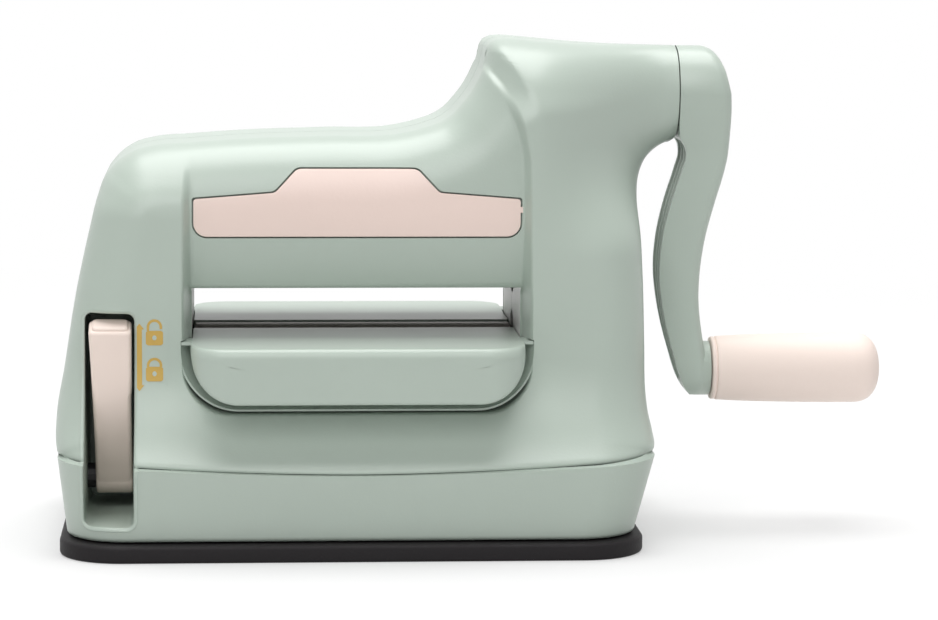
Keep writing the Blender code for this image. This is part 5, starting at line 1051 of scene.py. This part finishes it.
lever = {"pivot": (-20.0, 15.8), "lean": 20.5, "length": 40.0, "left": -62.85, "leftLow": -61.75,
         "leftPower": 2.4, "right": -52.85, "rightLow": -53.05, "notch": 0.62, "notchFade": 0.02,
         "thick": 3.3, "bow": 3.4, "round": 1.1, "roundShare": 0.9, "tip": 0.018, "tipRound": 0.6,
         "hub": 4.2, "hubCore": 0.3, "hubRound": 0.7, "bore": 3.2, "boreFrom": -70.0, "boreTo": -45.0,
         # share of the length, half thickness
         "thickAt": [(0.0, 4.116), (0.12, 3.6), (0.3, 3.3), (1.0, 3.3)],
         "capInset": 0.8, "capThin": 0.75, "capRound": 0.9,
         # distance past the tip, shrink
         "capRows": [(-1.2, 0.0), (0.2, 0.0), (0.45, 0.08), (0.65, 0.28), (0.75, 0.55)]}


def makePaddle(along, out):
    # one rounded rectangle per height: centre = pivot + s length along + bow sin(pi s) out
    h = lever
    body = 1 - h["tip"]
    share = np.concatenate([np.linspace(0.0, body, 52), 1 - h["tip"] * (1 - np.sin(quarter(7)))[1:]])
    thick = np.interp(share, *np.array(h["thickAt"]).T)
    past = np.maximum((share - body) / h["tip"], 0)
    inset = h["tipRound"] * (1 - np.sqrt(np.maximum(1 - past ** 2, 0)))
    bow = h["bow"] * np.sin(math.pi * share)
    middle = np.array(h["pivot"]) + share[:, None] * h["length"] * along + bow[:, None] * out
    left = h["leftLow"] + (h["left"] - h["leftLow"]) * share ** h["leftPower"]
    right = h["rightLow"] + (h["right"] - h["rightLow"]) * eased((share - h["notch"]) / h["notchFade"])
    rows = []
    for k in range(len(share)):
        halfT = thick[k] - inset[k]
        loop = roundedLoop((right[k] - left[k]) / 2 - inset[k], halfT,
                           min(h["round"], h["roundShare"] * halfT), 7)
        rows.append(np.column_stack([(left[k] + right[k]) / 2 + loop[:, 0], middle[k] + loop[:, 1:] * out]))
    return ringPiece("paddle_lever", rows), middle[-1]


def makeLever():
    h = lever
    lean = math.radians(h["lean"])
    along, out = np.array([-math.sin(lean), math.cos(lean)]), np.array([-math.cos(lean), -math.sin(lean)])
    piece, tip = makePaddle(along, out)
    r, radius = h["hubRound"], h["hub"] - h["hubRound"]
    corner = [(r * (1 - math.cos(t)), radius + r * math.sin(t)) for t in quarter(6)]
    profile = [(h["leftLow"], h["hubCore"])] + [(h["leftLow"] + x, y) for x, y in corner]
    profile += [(h["rightLow"] - x, y) for x, y in corner[::-1]] + [(h["rightLow"], h["hubCore"])]
    hub = turnedPiece("leverHub", profile, h["pivot"], 72)
    capHalf, capThick = (h["right"] - h["left"]) / 2 - h["capInset"], h["thick"] - h["capThin"]
    rows = []
    for distance, shrink in h["capRows"]:
        loop = roundedLoop(capHalf - shrink, capThick - shrink, h["capRound"], 6)
        rows.append(np.column_stack([(h["left"] + h["right"]) / 2 + loop[:, 0],
                                     tip + loop[:, 1:] * out + along * distance]))
    cap = ringPiece("leverCap", rows)
    bore = prismPiece("leverBore", circle(h["bore"], h["pivot"], 48), h["boreFrom"], h["boreTo"], "X")
    for other, operation in ((hub, "UNION"), (cap, "UNION"), (bore, "DIFFERENCE")):
        boolean(piece, other, operation)
    applied(piece, tools=(hub, cap, bore))
    finishPiece(piece, leverPlastic, "lever", ("suction_lever",))


makeLever()
print("lever made")

# Gold signs beside the slot: a double arrow and two padlocks, a hair proud of the body

signs = {"proud": 0.12, "sunk": 0.25,
         "pad": {"low": 36.0, "high": 57.2, "left": -51.2, "right": -44.3, "corner": 3.2, "proud": 0.05,
                 "fall": 0.2, "fade": 5.0, "slant": 0.5},
         "arrow": {"x": -51.0, "half": 0.6, "headHalf": 1.1, "headLength": 1.3, "neck": 0.4, "point": 0.04,
                   "step": 0.001, "low": 38.4, "high": 54.0},
         "lock": {"x": -47.5, "half": 2.0, "height": 3.4, "round": 0.5, "shackle": 1.5, "band": 0.3,
                  "dip": 0.05, "keyhole": 0.5, "keyholeAt": 0.52, "keyholeTall": 1.15, "keyholeProud": 0.03,
                  # lower edge, height of the shackle's legs, and how far the right leg reaches down
                  "states": {"open": (48.95, 0.95, 0.5), "closed": (40.55, 0.35, None)}}}


def signSheet(name, x, z, proud=signs["proud"], material=goldPaint):
    # lays a flat grid of (x, z) on the body and gives it a closed back
    front = np.stack([x, -(cheekSurface(x, z) + proud), z], -1)
    finishPiece(sheetBlock(name, front, signs["proud"] + signs["sunk"]), material)


def makePad():
    # under the signs: a flat sheet with one round corner that sinks into the body at its lower end
    h = signs["pad"]
    start = h["high"] - h["corner"]
    z = np.concatenate([np.linspace(h["low"], start, 24), start + h["corner"] * np.sin(quarter(9))[1:]])
    past = np.maximum(z - start, 0)
    edge = h["right"] - h["corner"] + np.sqrt(np.maximum(h["corner"] ** 2 - past ** 2, 0))
    x = h["left"] + (edge[:, None] - h["left"]) * np.linspace(0, 1, 16)
    z = np.repeat(z[:, None], 16, 1)
    fall = h["fall"] * (1 - eased((z - h["low"] - h["slant"] * (h["right"] - x)) / h["fade"]))
    signSheet("sign_pad", x, z, h["proud"] - fall, greenPlastic)


def makeArrow():
    # half width by height, a bar between two heads that stand out to the right
    h = signs["arrow"]
    high = h["high"] - h["low"]
    head = np.concatenate([np.linspace(0, h["headLength"], 7), [h["headLength"] + h["step"]]])
    middle = np.linspace(h["headLength"] + h["neck"], high - h["headLength"] - h["neck"], 22)
    z = np.concatenate([head, middle, high - head[::-1]])
    width = np.concatenate([h["headHalf"] * np.linspace(h["point"], 1, 7), [h["half"]]])
    width = np.concatenate([width, np.full(len(middle), h["half"]), width[::-1]])[:, None]
    s = np.linspace(-1, 1, 5)
    x = h["x"] + np.where(s < 0, np.minimum(width, h["half"]), width) * s
    signSheet("double_arrow", x, np.repeat((h["low"] + z)[:, None], 5, 1))


def makeLock(label):
    h = signs["lock"]
    low, rise, drop = h["states"][label]
    # body: a rectangle whose half width falls along a quarter circle at both ends
    up, r = np.linspace(0, h["height"], 13), h["round"]
    inset = np.minimum(np.minimum(up, h["height"] - up), r)
    half = (h["half"] - r + np.sqrt(np.maximum(r ** 2 - (r - inset) ** 2, 0)))[:, None]
    signSheet(f"{label}_lock_body", h["x"] + half * np.linspace(-1, 1, 9),
              low + np.repeat(up[:, None], 9, 1))
    # shackle: a band along a half circle on two legs, the right leg short when open
    leg, s = np.linspace(0, rise, 4), h["shackle"]
    path = [(-s, v) for v in leg[:-1]]
    path += [(s * math.cos(a), rise + s * math.sin(a)) for a in np.linspace(math.pi, 0, 17)]
    path += [(s, v) for v in (leg[::-1][1:] if drop is None else [rise - drop])]
    step = np.gradient(np.array(path), axis=0)
    side = np.stack([-step[:, 1], step[:, 0]], 1) / np.linalg.norm(step, axis=1)[:, None]
    band = np.array(path)[:, None] + side[:, None] * np.linspace(-1, 1, 3)[None, :, None] * h["band"]
    signSheet(f"{label}_lock_shackle", h["x"] + band[..., 0], low + h["height"] - h["dip"] + band[..., 1])
    # keyhole: a small disc in the body's colour
    angle, radius = np.linspace(0, 2 * math.pi, 25), np.linspace(poleRadius, h["keyhole"], 4)[:, None]
    x = h["x"] + radius * np.cos(angle)
    z = low + h["keyholeAt"] * h["height"] + radius * np.sin(angle) * h["keyholeTall"]
    front = np.stack([x, -(cheekSurface(x, z) + signs["proud"] + h["keyholeProud"]), z], -1)
    piece = buildPiece(f"{label}_lock_keyhole", front.reshape(-1, 3), gridFaces(4, 25), weld=0.003)
    outwards(piece, (0, -1, 0))
    finishPiece(piece, greenPlastic)


makePad()
makeArrow()
makeLock("open")
makeLock("closed")
print("signs made")

# Rollers as fine turned pieces, with a small chamfer at each end

rollers = {"radius": 9.5, "chamfer": 0.35, "bore": 4.05, "rows": 40, "sides": 128}


def makeRoller(node, name, body):
    h = rollers
    low, high = (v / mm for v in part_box(node))
    c, r = h["chamfer"], h["radius"]
    profile = [(low[0], h["bore"]), (low[0], r - c)]
    profile += [(x, r) for x in np.linspace(low[0] + c, high[0] - c, h["rows"])]
    profile += [(high[0], r - c), (high[0], h["bore"])]
    piece = turnedPiece(name, profile, (0, (low[2] + high[2]) / 2), h["sides"])
    finishPiece(piece, rollerSteel, body, (node,))


makeRoller("lower_roller", "ground_lower_roller", "lower_roller_set")
makeRoller("upper_roller", "ground_upper_roller", "upper_roller_set")

# Guides of the throat: cast plates that meet in a deep V above and below

guides = {"inside": 39.0, "thickness": 1.2, "round": 0.3, "edge": 0.15, "edgeAngle": 60,
          "outline": [(25.5, 47.4), (25.5, 64.0), (12.0, 64.0), (4.2, 58.6), (0.2, 57.2), (0.2, 53.3),
                      (4.2, 51.3), (5.5, 47.4)]}


def makeGuides():
    h = guides
    for sideName, side in (("left", -1), ("right", 1)):
        for faceName, face in (("front", -1), ("rear", 1)):
            outline = filleted([(face * y, z) for y, z in h["outline"]], h["round"], 4)
            piece = prismPiece(f"{faceName}_{sideName}_cast_guide", outline, side * h["inside"],
                               side * (h["inside"] + h["thickness"]), "X")
            softened(piece, h["edge"], h["edgeAngle"])
            finishPiece(piece, guideMetal, "housing", (f"{faceName}_{sideName}_guide",))


makeGuides()
print("rollers and guides made")

# Materials of the CAD pieces that stay

keptFinishes = (greenPlastic, creamPlastic, gripPlastic, blackRubber, zincSteel, shaftSteel, guideMetal,
                bushBronze, gearNylon)
bySlot = {slotNames[material.name]: material for material in keptFinishes}
for name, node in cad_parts.items():
    slotName = node.data.materials[0].name.split(".")[0]
    node.data.materials.clear()
    node.data.materials.append(blackSteel if name == "lever_shaft" else bySlot[slotName])
print("CAD pieces dressed")

# Floor, backdrop and lights

# its sizes are in metres, and the powers of its lights in watts
stage = {"floorHalf": 12.0, "floorTone": (224, 224, 224), "ambient": 0.36, "backdrop": 1.0,
         "aim": (0, 0, 0.06),
         # the floor shows a share of its own shading near the object, and pure white beyond
         "shadow": {"From Min": 0.25, "From Max": 0.6, "To Min": 0.4, "To Max": 1.0},
         "lights": {"above": ((0.0, 0.2, 1.3), 1.1, 19.5), "front": ((-0.35, -1.35, 1.15), 1.1, 11.5)}}


def seenDirectly(tree):
    # one for camera, glossy and transmission rays, zero for the rest
    path = addNode(tree, "LightPath")
    seen, glossy, clear = (path.outputs[f"Is {kind} Ray"] for kind in ("Camera", "Glossy", "Transmission"))
    return mathNode(tree, "MAXIMUM", mathNode(tree, "MAXIMUM", seen, glossy), clear)


def mixedInto(tree, output, share, first, second):
    mix = addNode(tree, "MixShader")
    for socket, source in zip(mix.inputs, (share, first, second)):
        tree.links.new(source, socket)
    tree.links.new(mix.outputs[0], tree.nodes[output].inputs["Surface"])


def makeFloor():
    reach = stage["floorHalf"]
    mesh = bpy.data.meshes.new("floor")
    corners = [(-reach, -reach, 0), (reach, -reach, 0), (reach, reach, 0), (-reach, reach, 0)]
    mesh.from_pydata(corners, [], [(0, 1, 2, 3)])
    material, shader, _ = newMaterial("paleFloor", stage["floorTone"], 0.9)
    tree = material.node_tree
    length, near = addNode(tree, "VectorMath", operation="LENGTH"), addNode(tree, "MapRange")
    for label, value in stage["shadow"].items():
        near.inputs[label].default_value = value
    tree.links.new(addNode(tree, "TexCoord").outputs["Object"], length.inputs[0])
    tree.links.new(length.outputs["Value"], near.inputs["Value"])
    share = mathNode(tree, "MULTIPLY", near.outputs["Result"], seenDirectly(tree))
    mixedInto(tree, "Material Output", share, shader.outputs[0], addNode(tree, "Emission").outputs[0])
    mesh.materials.append(material)
    placed("floor", mesh)


def makeBackdrop():
    world = bpy.data.worlds.new("studio")
    world.use_nodes = True
    bpy.context.scene.world = world
    tree = world.node_tree
    ambient, seen = tree.nodes["Background"], addNode(tree, "Background")
    for node, strength in ((ambient, stage["ambient"]), (seen, stage["backdrop"])):
        node.inputs["Color"].default_value = (1, 1, 1, 1)
        node.inputs["Strength"].default_value = strength
    mixedInto(tree, "World Output", seenDirectly(tree), ambient.outputs[0], seen.outputs[0])


def makeLights():
    for name, (place, size, power) in stage["lights"].items():
        data = bpy.data.lights.new(name, "AREA")
        data.size, data.energy = size, power
        lamp = placed(name, data)
        lamp.location = place
        lamp.rotation_euler = (Vector(stage["aim"]) - Vector(place)).to_track_quat("-Z", "Y").to_euler()


makeFloor()
makeBackdrop()
makeLights()
print("stage made")

bpy.context.scene.view_settings.view_transform = "Standard"
